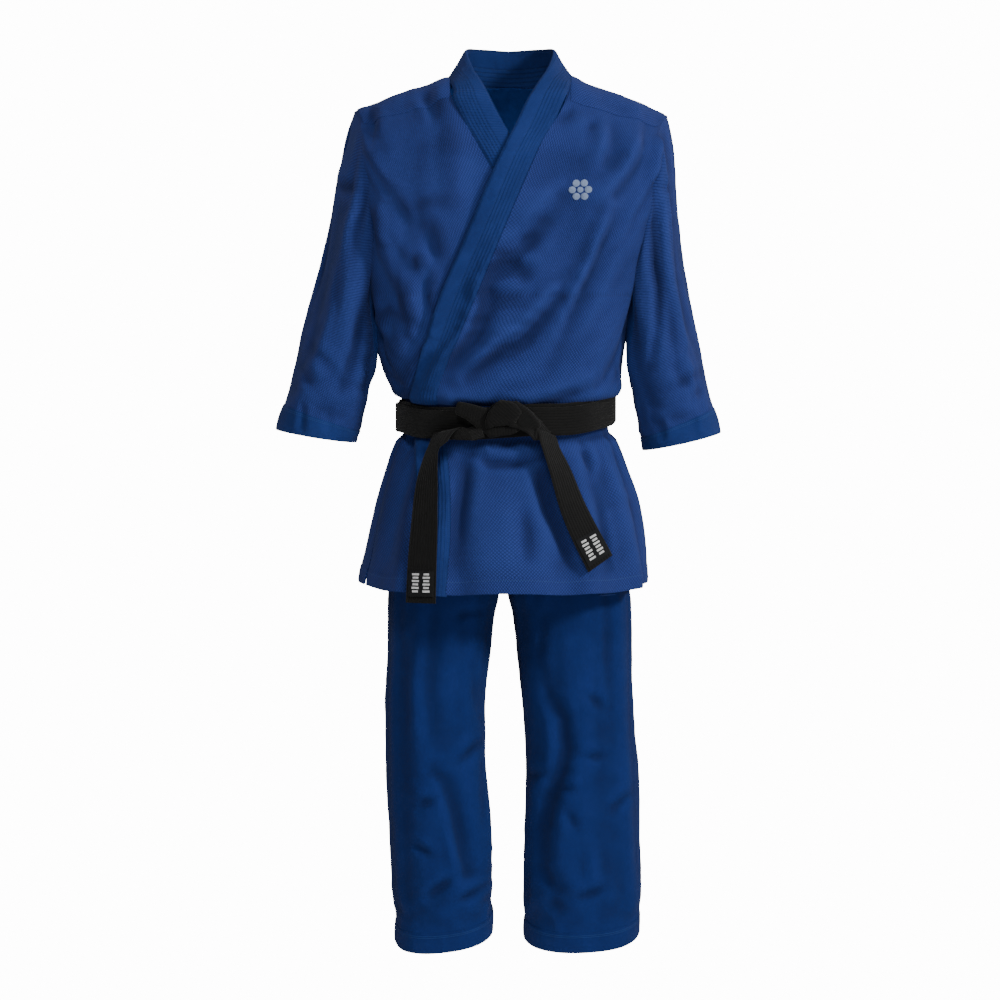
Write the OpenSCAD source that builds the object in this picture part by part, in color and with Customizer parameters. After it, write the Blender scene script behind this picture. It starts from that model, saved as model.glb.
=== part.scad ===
// Martial arts uniform: wrap jacket, drawstring trousers and knotted belt,
// shaped as they hang on a wearer of about 1.72 m.
// Frame: +Z up, -Y is the front, +X is the wearer's left.
// Origin: the middle of the neck base, level with the neck ends of the shoulders.

/* [Cloth] */
// Thickness of one layer of jacket or trouser cloth
cloth_t = 3; // [2:0.5:3]
// Thickness of the stitched collar and lapel band
band_t = 5.5; // [4:0.5:5.5]
// How far a turned and stitched hem stands proud of its cloth
hem_extra = 1; // [0.5:0.5:1.5]

/* [Jacket] */
// Drop from the neck base to the jacket hem
jacket_drop = 780; // [772:2:786]
// Depth of the turned hem at the bottom of the jacket
jacket_hem = 24; // [16:2:30]
// Height where the chest starts to round over the shoulder, below the neck base
shoulder_round = 110; // [100:5:115]
// Length of the slit at each side of the jacket skirt
vent_len = 145; // [100:5:160]
// Depth of the wrapped-over fronts between the over panel and the under panel
wrap_gap = 7.5; // [7:0.5:8]

/* [Sleeves] */
// Height of each armhole
armhole_h = 330; // [320:5:335]
// Half width of the sleeve end
cuff_half_w = 60; // [55:1:62]
// Half depth of the sleeve end, front to back
cuff_half_d = 62; // [55:1:66]
// Depth of the turned sleeve hem
cuff_hem = 32; // [24:2:40]

/* [Trousers] */
// Height of the hip line that the legs swing about, below the neck base
hip_drop = 700; // [690:5:705]
// Height of the trouser ends at their sides, below the neck base
ankle_drop = 1334; // [1320:2:1340]
// How much lower the front of each trouser end is than its back
ankle_tilt = 10; // [0:2:20]
// Depth of the turned trouser hem
leg_hem = 30; // [24:2:36]
// Height of the drawstring casing at the waist
waistband_h = 40; // [34:2:44]

/* [Belt] */
// Width of the belt
belt_w = 44; // [41:1:45]
// Thickness of the belt
belt_t = 3.5; // [3:0.5:3.5]
// Height of the middle of the belt, below the neck base
belt_drop = 516; // [513:1:519]
// Length of the stitched label at each belt end
label_len = 52; // [44:2:60]

/* [Hidden] */

jacket_blue = [0.10, 0.22, 0.48];
band_blue = [0.11, 0.24, 0.52];
trouser_blue = [0.04, 0.13, 0.34];
belt_black = [0.06, 0.06, 0.06];
thread_white = [0.86, 0.88, 0.92];

LEFT = 1;
RIGHT = -1;

// Jacket sections: height, half width at the wearer's right, at the left, front depth,
// back depth, and the squareness of the rounded oval that they make.
jacket_sections = [
    [-780, 228, 209, 165, 155, 3.0],
    [-730, 214, 205, 152, 145, 2.9],
    [-655, 198, 194, 136, 130, 2.7],
    [-600, 186, 180, 121, 116, 2.4],
    [-562, 177, 167, 110, 104, 2.3],
    [-546, 160, 151, 100, 94, 2.3],
    [-486, 160, 152, 100, 94, 2.3],
    [-470, 179, 168, 111, 104, 2.4],
    [-440, 193, 173, 120, 112, 2.6],
    [-400, 204, 177, 124, 116, 2.8],
    [-330, 211, 188, 127, 119, 3.0],
    [-180, 228, 232, 125, 117, 3.2],
    [-110, 240, 246, 113, 108, 3.2]
];
shoulder_line = [[0, 20], [100, 6], [175, -18], [246, -47]];
shoulder_y = 12;
neck_half_w = 99;
back_neck_dip = 55;

// Front edges in the front view: height, then distance from the middle.
over_seam_x = [
    [8, 97], [-33, 84], [-95, 50], [-170, 17], [-248, -16], [-315, -44],
    [-393, -76], [-436, -96], [-484, -109], [-540, -97], [-643, -89], [-790, -97]
];
over_free_x = [
    [8, 47], [-36, 25], [-82, 2], [-159, -34], [-218, -58], [-276, -83], [-332, -108],
    [-391, -127], [-436, -140], [-484, -151], [-540, -147], [-643, -141], [-790, -149]
];
under_seam_x = [
    [8, -99], [-36, -83], [-85, -56], [-132, -30], [-180, -6], [-280, 46],
    [-380, 98], [-484, 134], [-790, 140]
];
under_free_x = [
    [8, -44], [-11, -38], [-47, -20], [-83, 2], [-132, 28], [-180, 52], [-280, 104],
    [-380, 140], [-436, 150], [-484, 142], [-545, 138], [-790, 176]
];
band_slant = 22;

// Neck part of the collar band on the wearer's left, from the middle of the back
// to the collarbone: where the band is sewn on, then its free edge.
neck_band = [
    [[0, 80, -14], [0, 66, 47]],
    [[24, 79, -13], [20, 64, 48]],
    [[46, 74, -9], [37, 59, 50]],
    [[66, 64, -4], [51, 50, 52]],
    [[83, 49, 2], [61, 38, 54]],
    [[95, 25, 8], [67, 18, 50]],
    [[99, -2, 9], [66, -4, 40]],
    [[98, -28, 4], [62, -22, 28]],
    [[95, -50, -7], [55, -42, 13]],
    [[91, -68, -18], [42, -64, -8]],
    [[86, -81, -28], [24, -88, -38]]
];

// Sleeve ends in the front view: outer corner, inner corner.
cuff_corners = [
    [LEFT, [332, -546], [214, -574]],
    [RIGHT, [-365, -541], [-247, -561]]
];
armhole_turn = 25;
sleeve_clear = 8;
sleeve_outer_bulge = [[LEFT, -9], [RIGHT, 6]];
sleeve_inner_bulge = 4;

// Leg sections: height, inner side, outer side, half depth.
left_leg_sections = [
    [-702, 8, 164, 82], [-760, 1, 184, 94], [-795, -1, 190, 98], [-880, 9, 195, 96],
    [-968, 20, 198, 94], [-1125, 27, 199, 90], [-1250, 26, 202, 88], [-1362, 25, 203, 86]
];
right_leg_sections = [
    [-702, -24, -168, 82], [-760, -16, -186, 94], [-795, -14, -189, 98], [-880, -25, -191, 96],
    [-968, -35, -192, 94], [-1125, -36, -186, 90], [-1250, -30, -180, 88], [-1362, -24, -174, 86]
];
centre_seam_x = -8;
hip_sections = [[-700, 194, 122], [-640, 180, 110], [-590, 156, 96], [-560, 140, 86], [-519, 132, 81], [-470, 132, 81]];
waist_top = -477;

// Belt tails in the front view: middle of the strap, how far its near edge stands off
// the jacket, the direction that its width runs, and how far it twists away from the front.
left_tail_path = [
    [18, -509, 18, 83, 25], [32, -518, 19, 80, 35], [45, -532, 18, 65, 45], [56, -548, 18, 42, 50],
    [68, -572, 14, 28, 52], [81, -597, 9, 24, 50], [99, -643, 8, 25, 40], [116, -680, 8, 27, 28],
    [144, -735, 9, 36, 8]
];
right_tail_path = [
    [-51, -530, 18, 117, 62], [-69, -538, 18, 135, 60], [-90, -545, 17, 139, 58], [-108, -553, 18, 130, 62],
    [-119, -565, 13, 165, 64], [-126, -580, 9, 180, 56], [-130, -605, 9, 180, 45], [-132, -632, 9, 180, 38],
    [-134, -672, 9, 180, 32], [-136, -718, 9, 180, 26], [-138, -788, 10, 180, 15]
];
twist_depth = 0.6;
// Knot in the front view: the pad of crossed straps, and the loop wound over it.
knot_pad = [[-44, -518], [-33, -501], [-16, -484], [13, -486], [14, -528], [6, -535], [-30, -539], [-44, -534]];
knot_loop = [[-33, -501], [-16, -482], [10, -487], [6, -508], [-6, -522], [-31, -526]];
knot_lip = [[-32, -527], [-4, -523], [9, -526], [5, -537], [-30, -541]];
knot_y = -117;
knot_deep = [16, 23, 20];

// ---- Helpers ----

function mix(a, b, t) = a + (b - a) * t;
function unit(v) = v / norm(v);
function clamp01(t) = min(1, max(0, t));
function column(table, n) = [for (row = table) [row[0], row[n]]];
function of_side(table, side) = [for (row = table) if (row[0] == side) row][0];
function steps(a, b, n) = [for (i = [0 : n]) mix(a, b, i / n)];

// Triangles over a grid of points that starts at index first.
function grid_faces(rows, cols, wrap, first, flip) = [
    for (i = [0 : rows - 2]) for (j = [0 : wrap ? cols - 1 : cols - 2])
        let (a = first + i * cols + j, b = first + i * cols + (j + 1) % cols, c = b + cols, d = a + cols)
            each flip ? [[a, c, b], [a, d, c]] : [[a, b, c], [a, c, d]]
];

// Triangles that join one edge of the outer grid to the same edge of the inner grid.
function rim_faces(edge, wrap, inner, flip) = [
    for (k = [0 : wrap ? len(edge) - 1 : len(edge) - 2])
        let (a = edge[k], b = edge[(k + 1) % len(edge)], c = b + inner, d = a + inner)
            each flip ? [[a, b, c], [a, c, d]] : [[a, c, b], [a, d, c]]
];

// A closed sheet between two grids of points with the same rows and columns.
module sheet(outer, inner, wrap = false) {
    rows = len(outer);
    cols = len(outer[0]);
    count = rows * cols;
    across = outer[0][1] - outer[0][0];
    along = outer[1][0] - outer[0][0];
    flip = cross(across, along) * (outer[0][0] - inner[0][0]) > 0;
    points = [for (row = concat(outer, inner)) for (p = row) p];
    bottom = [for (j = [0 : cols - 1]) j];
    top = [for (j = [0 : cols - 1]) count - cols + j];
    start = [for (i = [0 : rows - 1]) i * cols];
    end = [for (i = [0 : rows - 1]) i * cols + cols - 1];
    faces = concat(
        grid_faces(rows, cols, wrap, 0, flip),
        grid_faces(rows, cols, wrap, count, !flip),
        rim_faces(bottom, wrap, count, flip),
        rim_faces(top, wrap, count, !flip),
        wrap ? [] : rim_faces(start, false, count, !flip),
        wrap ? [] : rim_faces(end, false, count, flip)
    );
    polyhedron(points = points, faces = faces, convexity = 10);
}

// ---- Jacket body surface ----

// A point on a rounded oval: turn 0 is the front, 90 the wearer's left, 180 the back.
function oval(turn, wide, deep, square) = [
    wide * sign(sin(turn)) * pow(abs(sin(turn)), 2 / square),
    -deep * sign(cos(turn)) * pow(abs(cos(turn)), 2 / square)
];
function jacket_at(height, n) = lookup(min(height, -shoulder_round), column(jacket_sections, n));
function half_width(height, right) = jacket_at(height, right ? 1 : 2);
function rise(height) = 90 * clamp01(1 + height / shoulder_round);
function true_height(height) =
    height <= -shoulder_round ? height
    : -shoulder_round + (8 + shoulder_round) * sin(rise(height));

// The jacket at a turn round the body and a nominal height, which is 0 at the shoulder ridge.
function jacket(turn, height, out = 0) =
    let (p = oval(turn,
                  half_width(height, sin(turn) < 0) + out,
                  jacket_at(height, cos(turn) > 0 ? 3 : 4) + out,
                  jacket_at(height, 5)),
         ridge = lookup(abs(p[0]), shoulder_line) + out,
         up = rise(height))
    height <= -shoulder_round
        ? [p[0], p[1], height]
        : [p[0], mix(shoulder_y, p[1], cos(up)), mix(-shoulder_round, ridge, sin(up))];

// The turn at which the jacket's front is x from the middle.
function turn_of(x, height) =
    sign(x) * asin(pow(min(1, abs(x) / half_width(height, x < 0)), jacket_at(height, 5) / 2));

// The jacket's front at a point of the front view.
function chest(x, z, out = 0) =
    let (wide = half_width(z, x < 0) + out,
         square = jacket_at(z, 5),
         y = -(jacket_at(z, 3) + out) * pow(max(0, 1 - pow(min(1, abs(x) / wide), square)), 1 / square),
         ridge = lookup(abs(x), shoulder_line) + out,
         up = asin(clamp01((z + shoulder_round) / (ridge + shoulder_round))))
    [x, z <= -shoulder_round ? y : mix(shoulder_y, y, cos(up)), z];

// How far the under front drops below the over front, which covers it inside its free edge.
function under_drop(x, z) = -wrap_gap * clamp01((x - lookup(z, over_free_x) + 60) / 60);

armhole_mid = -armhole_h / 2;
function armhole_turn_at(height) =
    90 - armhole_turn * sqrt(max(0, 1 - pow((height - armhole_mid) / (armhole_h / 2), 2)));
function vent_at(height) = 2.2 * clamp01((-jacket_drop + vent_len - height) / vent_len);

right_seam_turn = 78;
function seam_turn(side, height) =
    height > -armhole_h ? armhole_turn_at(height)
    : (side == RIGHT ? mix(90, right_seam_turn, clamp01((-armhole_h - height) / 150)) : 90);

body_rows = [-700, -655, -620, -590, -562, -546, -516, -486, -470, -440, -400, -365, -330, -290, -230, -170, -110];
round_rows = [for (k = [1 : 6]) -shoulder_round * (1 - k / 6)];
panel_rows = concat([-jacket_drop + jacket_hem, -730], body_rows, round_rows);

// ---- Jacket panels ----

seam_gap = 1.6;
function front_grid(side, seam, rows, out, cols = 14) = [
    for (h = rows)
        let (z = true_height(h),
             a = turn_of(lookup(z, seam) + side * seam_gap, h),
             b = side * (seam_turn(side, h) - vent_at(h)))
            [for (t = steps(0, 1, cols))
                let (turn = mix(a, b, t),
                     p = jacket(turn, h),
                     drop = side == RIGHT ? under_drop(p[0], p[2]) * clamp01(14 * (1 - t)) : 0)
                    jacket(turn, h, out + drop)]
];

module left_front_panel() color(jacket_blue)
    sheet(front_grid(LEFT, over_seam_x, panel_rows, cloth_t), front_grid(LEFT, over_seam_x, panel_rows, 0));

module right_front_panel() color(jacket_blue)
    sheet(front_grid(RIGHT, under_seam_x, panel_rows, cloth_t), front_grid(RIGHT, under_seam_x, panel_rows, 0));

hem_rows = [-jacket_drop, -jacket_drop + jacket_hem];
module front_hem(side, seam) color(jacket_blue)
    sheet(front_grid(side, seam, hem_rows, cloth_t + hem_extra), front_grid(side, seam, hem_rows, 0));

function back_neck(turn) =
    let (x = abs(jacket(turn, -shoulder_round)[0]))
    x < neck_half_w ? -back_neck_dip * sqrt(1 - pow(x / neck_half_w, 2)) : 0;

function back_grid(rows, out, cols = 26) = [
    for (h = rows)
        let (a = seam_turn(LEFT, h), b = seam_turn(RIGHT, h), gap = vent_at(h),
             from = height_is_open(h) ? 180 - a : a + gap,
             to = height_is_open(h) ? 180 + b : 360 - b - gap)
            [for (t = steps(0, 1, cols))
                let (turn = mix(from, to, t),
                     up = rise(h) / 90,
                     top = mix(-shoulder_round, back_neck(turn), up))
                    jacket(turn, h <= -shoulder_round ? h : top, out)]
];
function height_is_open(height) = height > -armhole_h;

module back_panel() color(jacket_blue)
    sheet(back_grid(panel_rows, cloth_t), back_grid(panel_rows, 0));

module back_hem() color(jacket_blue)
    sheet(back_grid(hem_rows, cloth_t + hem_extra), back_grid(hem_rows, 0));

// Shoulder reinforcement: a second layer from the collarbone over the ridge to the shoulder blade.
yoke_clear = 2;
yoke_start = neck_half_w + 7;
yoke_heights = [-55, -36.67, -18.33, 0];
function yoke_end(height) = abs(jacket(armhole_turn_at(height), height)[0]) - 12;
function yoke_turn(side, share, height) =
    abs(turn_of(side * mix(yoke_start, yoke_end(height), share), height));
function yoke_grid(side, out) = [
    for (t = steps(0, 1, 7))
        concat(
            [for (h = yoke_heights) jacket(side * yoke_turn(side, t, h), h, out)],
            [for (k = [2 : -1 : 0])
                let (h = yoke_heights[k]) jacket(180 - side * yoke_turn(side, t, h), h, out)]
        )
];
module shoulder_yoke(side) color(jacket_blue)
    sheet(yoke_grid(side, 2 * cloth_t + yoke_clear - 1), yoke_grid(side, cloth_t + yoke_clear));

// ---- Collar and lapels ----

// One row of four points across a band, from its sewn edge to its free edge.
function band_row(sewn, free, lift) = [for (t = steps(0, 1, 3)) mix(sewn, free, t) + lift];

lapel_heights = concat([-jacket_drop], [for (h = panel_rows) if (true_height(h) < -40) true_height(h)], [-28]);

// The band below the collarbone, laid on the front at a given height above it.
function lapel_grid(seam, free, side, out) = [
    for (h = lapel_heights)
        let (slant = band_slant * clamp01((h + 470) / 90),
             low = h - slant,
             sewn_x = lookup(h, seam),
             free_x = lookup(low, free))
            [for (t = steps(0, 1, 3))
                let (x = mix(sewn_x, free_x, t),
                     z = mix(h, low, t),
                     drop = side == RIGHT ? under_drop(x, z) : 0)
                    chest(x, z, out + drop)]
];

function mirror_side(p, side) = [side * p[0], p[1], p[2]];
function neck_grid(side, out) = [
    for (pair = neck_band)
        let (sewn = mirror_side(pair[0], side),
             free = mirror_side(pair[1], side),
             round_out = unit([sewn[0], sewn[1] + 1, 0]),
             tilt = unit(round_out * 0.85 + [0, 0, 0.5]))
            band_row(sewn, free, tilt * out)
];

collar_under = -1;
collar_over = collar_under + band_t;
collar_lift = cloth_t + 0.8;

module left_lapel() color(band_blue)
    sheet(lapel_grid(over_seam_x, over_free_x, LEFT, collar_over),
          lapel_grid(over_seam_x, over_free_x, LEFT, collar_under));

module right_lapel() color(band_blue)
    sheet(lapel_grid(under_seam_x, under_free_x, RIGHT, collar_over - 0.5),
          lapel_grid(under_seam_x, under_free_x, RIGHT, collar_under));

function collar_grid(out) =
    let (right = neck_grid(RIGHT, out), left = neck_grid(LEFT, out), last = len(neck_band) - 1)
    concat([for (k = [last : -1 : 1]) right[k]], left);
module back_collar() color(band_blue) sheet(collar_grid(collar_lift + band_t), collar_grid(collar_lift));

// ---- Small jacket parts ----

tab_size = 20;
tab_at = -420;
module inner_tie_tabs() color(band_blue)
    for (side = [LEFT, RIGHT])
        translate([side * (half_width(tab_at, side == RIGHT) - 5), 0, tab_at])
            cube([2, tab_size, tab_size], center = true);

emblem_x = 108;
emblem_z = -168;
emblem_r = 8;
petals = 6;
module chest_emblem() color(thread_white)
    translate(chest(emblem_x, emblem_z, cloth_t + 1.2)) rotate([81, 0, 6]) {
        cylinder(r = emblem_r * 0.6, h = 1, $fn = 24);
        for (k = [0 : petals - 1])
            rotate(k * 360 / petals) translate([emblem_r + 4, 0, 0]) cylinder(r = emblem_r * 0.7, h = 1, $fn = 24);
    }

// ---- Sleeves ----

// A point of the sleeve: ring 0 is the top, 90 the front; along runs from armhole to end.
function cuff(side) = of_side(cuff_corners, side);
function cuff_mid(side) = [(cuff(side)[1][0] + cuff(side)[2][0]) / 2, 0, (cuff(side)[1][1] + cuff(side)[2][1]) / 2];
function cuff_out(side) = unit([cuff(side)[1][0] - cuff(side)[2][0], 0, cuff(side)[1][1] - cuff(side)[2][1]]);
function armhole_point(side, ring) =
    let (height = armhole_mid + armhole_h / 2 * cos(ring), turn = side * (90 - armhole_turn * sin(ring)))
    jacket(turn, height) + [side * sleeve_clear, 0, 0];
function cuff_point(side, ring) =
    cuff_mid(side) + cuff_half_w * cos(ring) * cuff_out(side) + [0, -cuff_half_d * sin(ring), 0];
function sleeve_mid(side, ring, along) =
    let (swell = 4 * along * (1 - along),
         outer = of_side(sleeve_outer_bulge, side)[1] * swell * max(0, cos(ring)),
         inner = sleeve_inner_bulge * swell * max(0, -cos(ring)))
    mix(armhole_point(side, ring), cuff_point(side, ring), along) + [side * (outer - inner), 0, 0];
// The direction out of the sleeve's cloth.
function sleeve_away(side, ring, along) =
    let (round_way = sleeve_mid(side, ring + 1, along) - sleeve_mid(side, ring - 1, along),
         down = sleeve_mid(side, ring, along + 0.02) - sleeve_mid(side, ring, along - 0.02))
    unit(cross(round_way, down)) * side * -1;
function sleeve(side, ring, along, out = 0) =
    sleeve_mid(side, ring, along) + out * sleeve_away(side, ring, along);

sleeve_len = 400;
cuff_share = 1 - cuff_hem / sleeve_len;
function sleeve_grid(side, alongs, out) = [
    for (s = alongs) [for (k = [0 : 23]) sleeve(side, k * 15, s, out)]
];
module sleeve_tube(side) color(jacket_blue)
    sheet(sleeve_grid(side, steps(0.015, cuff_share, 8), cloth_t),
          sleeve_grid(side, steps(0.015, cuff_share, 8), 0), wrap = true);
module cuff_band(side) color(jacket_blue)
    sheet(sleeve_grid(side, [cuff_share, 1], cloth_t + hem_extra),
          sleeve_grid(side, [cuff_share, 1], 0), wrap = true);

// Gusset: a patch inside the underside of the sleeve, where it meets the side seam.
gusset_turn = 40;
function gusset_grid(side, out) = [
    for (s = steps(0.03, 0.42, 5))
        let (spread = gusset_turn * (1 - 0.8 * (s / 0.42)))
            [for (ring = steps(180 - spread, 180 + spread, 5)) sleeve(side, ring, s, out)]
];
module underarm_gusset(side) color(band_blue)
    sheet(gusset_grid(side, -2), gusset_grid(side, -4));

// ---- Trousers ----

function hip_at(height, n) = lookup(height, column(hip_sections, n));
function hip(turn, height, out = 0) =
    let (p = oval(turn, hip_at(height, 1) + out, hip_at(height, 2) + out, 2.3)) [p[0], p[1], height];

waist_bottom = waist_top - waistband_h;
waist_grow = 1.5;
module waistband() color(trouser_blue)
    sheet([for (h = [waist_bottom, waist_top]) [for (k = [0 : 35]) hip(k * 10, h, cloth_t + waist_grow)]],
          [for (h = [waist_bottom, waist_top]) [for (k = [0 : 35]) hip(k * 10, h, 0)]], wrap = true);

eyelet_x = 16;
module drawstring_eyelets() color(thread_white)
    for (x = [centre_seam_x - eyelet_x, centre_seam_x + eyelet_x])
        translate([x, -hip_at(waist_top, 2) - cloth_t - waist_grow - 0.4, waist_bottom + waistband_h / 2])
            rotate([90, 0, 0]) difference() {
                cylinder(r = 6, h = 1.2, $fn = 32);
                translate([0, 0, -1]) cylinder(r = 3.5, h = 4, $fn = 32);
            }

hip_rows = [-hip_drop, -670, -640, -600, -560, waist_bottom];
function hip_grid(side, out) = [
    for (h = hip_rows)
        let (reach = asin(pow(clamp01(abs(centre_seam_x + side * 0.5) / hip_at(h, 1)), 1.15)),
             first = side == RIGHT ? reach : -reach)
            [for (turn = steps(first, 180 - first, 14)) hip(side * turn, h, out)]
];
module hip_shell(side) color(trouser_blue) sheet(hip_grid(side, cloth_t), hip_grid(side, 0));

// Gusset: the saddle strip between the legs, from the front seam under to the back seam.
gusset_w = 5;
gusset_deep = 78;
gusset_low = 785;
module crotch_gusset() color(trouser_blue)
    translate([centre_seam_x + gusset_w / 2, 0, -hip_drop])
        rotate([0, -90, 0]) rotate([0, 0, 180])
            linear_extrude(gusset_w) difference() {
                saddle(gusset_low - hip_drop, gusset_deep);
                saddle(gusset_low - hip_drop - cloth_t, gusset_deep - cloth_t);
            }
module saddle(deep, wide) hull() {
    translate([0, -wide]) square([1, 2 * wide]);
    translate([deep - wide * 0.5, 0]) circle(r = wide * 0.5, $fn = 32);
}

function leg_sections(side) = side == LEFT ? left_leg_sections : right_leg_sections;
function leg(side, ring, height, out = 0) =
    let (table = leg_sections(side),
         inner = lookup(height, column(table, 1)),
         outer = lookup(height, column(table, 2)),
         deep = lookup(height, column(table, 3)),
         p = oval(ring, abs(outer - inner) / 2 + out, deep + out, 2.3))
    [(inner + outer) / 2 + p[0], p[1], height];
function ankle(ring, height) = [0, 0, height - ankle_tilt / 2 * cos(ring)];
leg_rows = [-hip_drop - 2, -760, -795, -880, -968, -1050, -1125, -1190, -1250];
hem_top = -ankle_drop + leg_hem;
function leg_grid(side, out) = concat(
    [for (h = leg_rows) [for (k = [0 : 23]) leg(side, k * 15, h, out)]],
    [[for (k = [0 : 23]) leg_end(side, k * 15, hem_top, out)]]
);
function leg_end(side, ring, height, out) =
    let (p = leg(side, ring, height, out)) [p[0], p[1], ankle(ring, height)[2]];
module leg_tube(side) color(trouser_blue) sheet(leg_grid(side, cloth_t), leg_grid(side, 0), wrap = true);
module leg_hem_band(side) color(trouser_blue)
    sheet([for (h = [-ankle_drop, hem_top]) [for (k = [0 : 23]) leg_end(side, k * 15, h, cloth_t + hem_extra)]],
          [for (h = [-ankle_drop, hem_top]) [for (k = [0 : 23]) leg_end(side, k * 15, h, 0)]], wrap = true);

// ---- Belt ----

inner_wrap_out = 7.5;
outer_wrap_out = inner_wrap_out + belt_t + 1.5;
wrap_shift = 4;
function wrap_grid(middle, out) = [
    for (h = [middle - belt_w / 2, middle + belt_w / 2])
        [for (k = [0 : 39]) let (p = jacket(k * 9, -belt_drop, out)) [p[0], p[1], h]]
];
module belt_wrap(middle, out) color(belt_black)
    sheet(wrap_grid(middle, out + belt_t), wrap_grid(middle, out), wrap = true);

module knot_piece(outline, deep)
    translate([0, knot_y, 0]) rotate([90, 0, 0]) linear_extrude(deep) polygon(outline);
module belt_knot() color(belt_black) {
    knot_piece(knot_pad, knot_deep[0]);
    knot_piece(knot_loop, knot_deep[1]);
    knot_piece(knot_lip, knot_deep[2]);
}

// A strap: four points across its width at each station of its path.
function strap_row(station, out) =
    [for (t = [-0.5, -0.17, 0.17, 0.5])
        let (across = t * belt_w * cos(station[4]),
             lift = station[2] + (0.5 - t) * belt_w * sin(station[4]) * twist_depth)
            chest(station[0] + across * cos(station[3]), station[1] + across * sin(station[3]), lift + out)];
function strap_grid(path, out) = [for (station = path) strap_row(station, out)];
function between(a, b, t) = [for (k = [0 : 4]) mix(a[k], b[k], t)];
function label_share(path) =
    let (a = path[len(path) - 2], b = path[len(path) - 1])
    1 - label_len / norm([b[0] - a[0], b[1] - a[1]]);
function tail_part(path) =
    let (n = len(path)) concat([for (k = [0 : n - 2]) path[k]], [between(path[n - 2], path[n - 1], label_share(path))]);
function label_part(path) =
    let (n = len(path)) [between(path[n - 2], path[n - 1], label_share(path)), path[n - 1]];
module belt_tail(path) color(belt_black)
    sheet(strap_grid(tail_part(path), belt_t), strap_grid(tail_part(path), 0));
module belt_label(path) color(belt_black)
    sheet(strap_grid(label_part(path), belt_t + 0.6), strap_grid(label_part(path), -0.3));

// ---- Nodes ----

back_panel();
left_front_panel();
right_front_panel();
shoulder_yoke(LEFT);  // left_shoulder_yoke
shoulder_yoke(RIGHT);  // right_shoulder_yoke
back_collar();
left_lapel();
right_lapel();
back_hem();
front_hem(LEFT, over_seam_x);  // left_front_hem
front_hem(RIGHT, under_seam_x);  // right_front_hem
inner_tie_tabs();
chest_emblem();
sleeve_tube(LEFT);  // left_sleeve
sleeve_tube(RIGHT);  // right_sleeve
cuff_band(LEFT);  // left_cuff_hem
cuff_band(RIGHT);  // right_cuff_hem
underarm_gusset(LEFT);  // left_underarm_gusset
underarm_gusset(RIGHT);  // right_underarm_gusset
waistband();
drawstring_eyelets();
hip_shell(LEFT);  // left_hip
hip_shell(RIGHT);  // right_hip
crotch_gusset();
leg_tube(LEFT);  // left_leg
leg_tube(RIGHT);  // right_leg
leg_hem_band(LEFT);  // left_leg_hem
leg_hem_band(RIGHT);  // right_leg_hem
belt_wrap(-belt_drop + wrap_shift, inner_wrap_out);  // belt_inner_wrap
belt_wrap(-belt_drop - wrap_shift, outer_wrap_out);  // belt_outer_wrap
belt_knot();
belt_tail(left_tail_path);  // left_belt_tail
belt_tail(right_tail_path);  // right_belt_tail
belt_label(left_tail_path);  // left_belt_label
belt_label(right_tail_path);  // right_belt_label
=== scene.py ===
"""Martial arts uniform: a wrap jacket, trousers and a tied belt, dressed on the CAD frame.

Lengths in the shape functions are millimetres, and turn into metres when a mesh is made.
turn goes round the body: 0 front, 90 the wearer's left, 180 back.
Heights run down from the shoulder ridge at 0."""

import math

import bmesh
import bpy
import numpy as np
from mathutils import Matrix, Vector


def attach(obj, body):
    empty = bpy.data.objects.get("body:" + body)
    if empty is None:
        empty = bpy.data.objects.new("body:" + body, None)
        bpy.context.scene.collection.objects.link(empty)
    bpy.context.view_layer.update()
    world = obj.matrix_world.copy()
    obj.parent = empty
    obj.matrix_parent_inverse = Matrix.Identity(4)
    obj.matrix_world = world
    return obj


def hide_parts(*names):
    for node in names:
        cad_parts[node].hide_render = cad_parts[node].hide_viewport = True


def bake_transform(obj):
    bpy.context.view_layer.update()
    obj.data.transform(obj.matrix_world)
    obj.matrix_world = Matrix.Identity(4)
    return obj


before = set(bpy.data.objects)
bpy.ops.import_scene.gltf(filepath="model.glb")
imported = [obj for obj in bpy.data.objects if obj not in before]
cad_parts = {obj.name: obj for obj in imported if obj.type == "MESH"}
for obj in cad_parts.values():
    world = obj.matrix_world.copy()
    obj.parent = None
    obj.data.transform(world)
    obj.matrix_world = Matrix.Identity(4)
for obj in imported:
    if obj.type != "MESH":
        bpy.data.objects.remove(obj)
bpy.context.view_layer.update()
MM = 0.001
LEFT, RIGHT = 1, -1
NAMES = {LEFT: "left", RIGHT: "right"}
CLOTH = 1.6

# ---- Smooth tables ----


def hermite(x, xs, ys, slopes):
    """The curve through the points that has the given slope at each."""
    i = np.clip(np.searchsorted(xs, x, side="right") - 1, 0, len(xs) - 2)
    step = xs[i + 1] - xs[i]
    t = (x - xs[i]) / step
    rest = 1 - t
    return (
        (1 + 2 * t) * rest * rest * ys[i]
        + t * rest * rest * step * slopes[i]
        + t * t * (3 - 2 * t) * ys[i + 1]
        - t * t * rest * step * slopes[i + 1]
    )


def smooth_line(xs, ys):
    """A smooth curve through the points that never overshoots them."""
    xs, ys = np.array(xs, float), np.array(ys, float)
    order = np.argsort(xs)
    xs, ys = xs[order], ys[order]
    slope = np.diff(ys) / np.diff(xs)
    tangent = np.zeros(len(xs))
    same_way = slope[:-1] * slope[1:] > 0
    total = np.where(same_way, slope[:-1] + slope[1:], 1.0)
    tangent[1:-1] = np.where(same_way, 2 * slope[:-1] * slope[1:] / total, 0.0)
    tangent[0], tangent[-1] = slope[0], slope[-1]
    return lambda x: hermite(np.clip(x, xs[0], xs[-1]), xs, ys, tangent)


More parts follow.
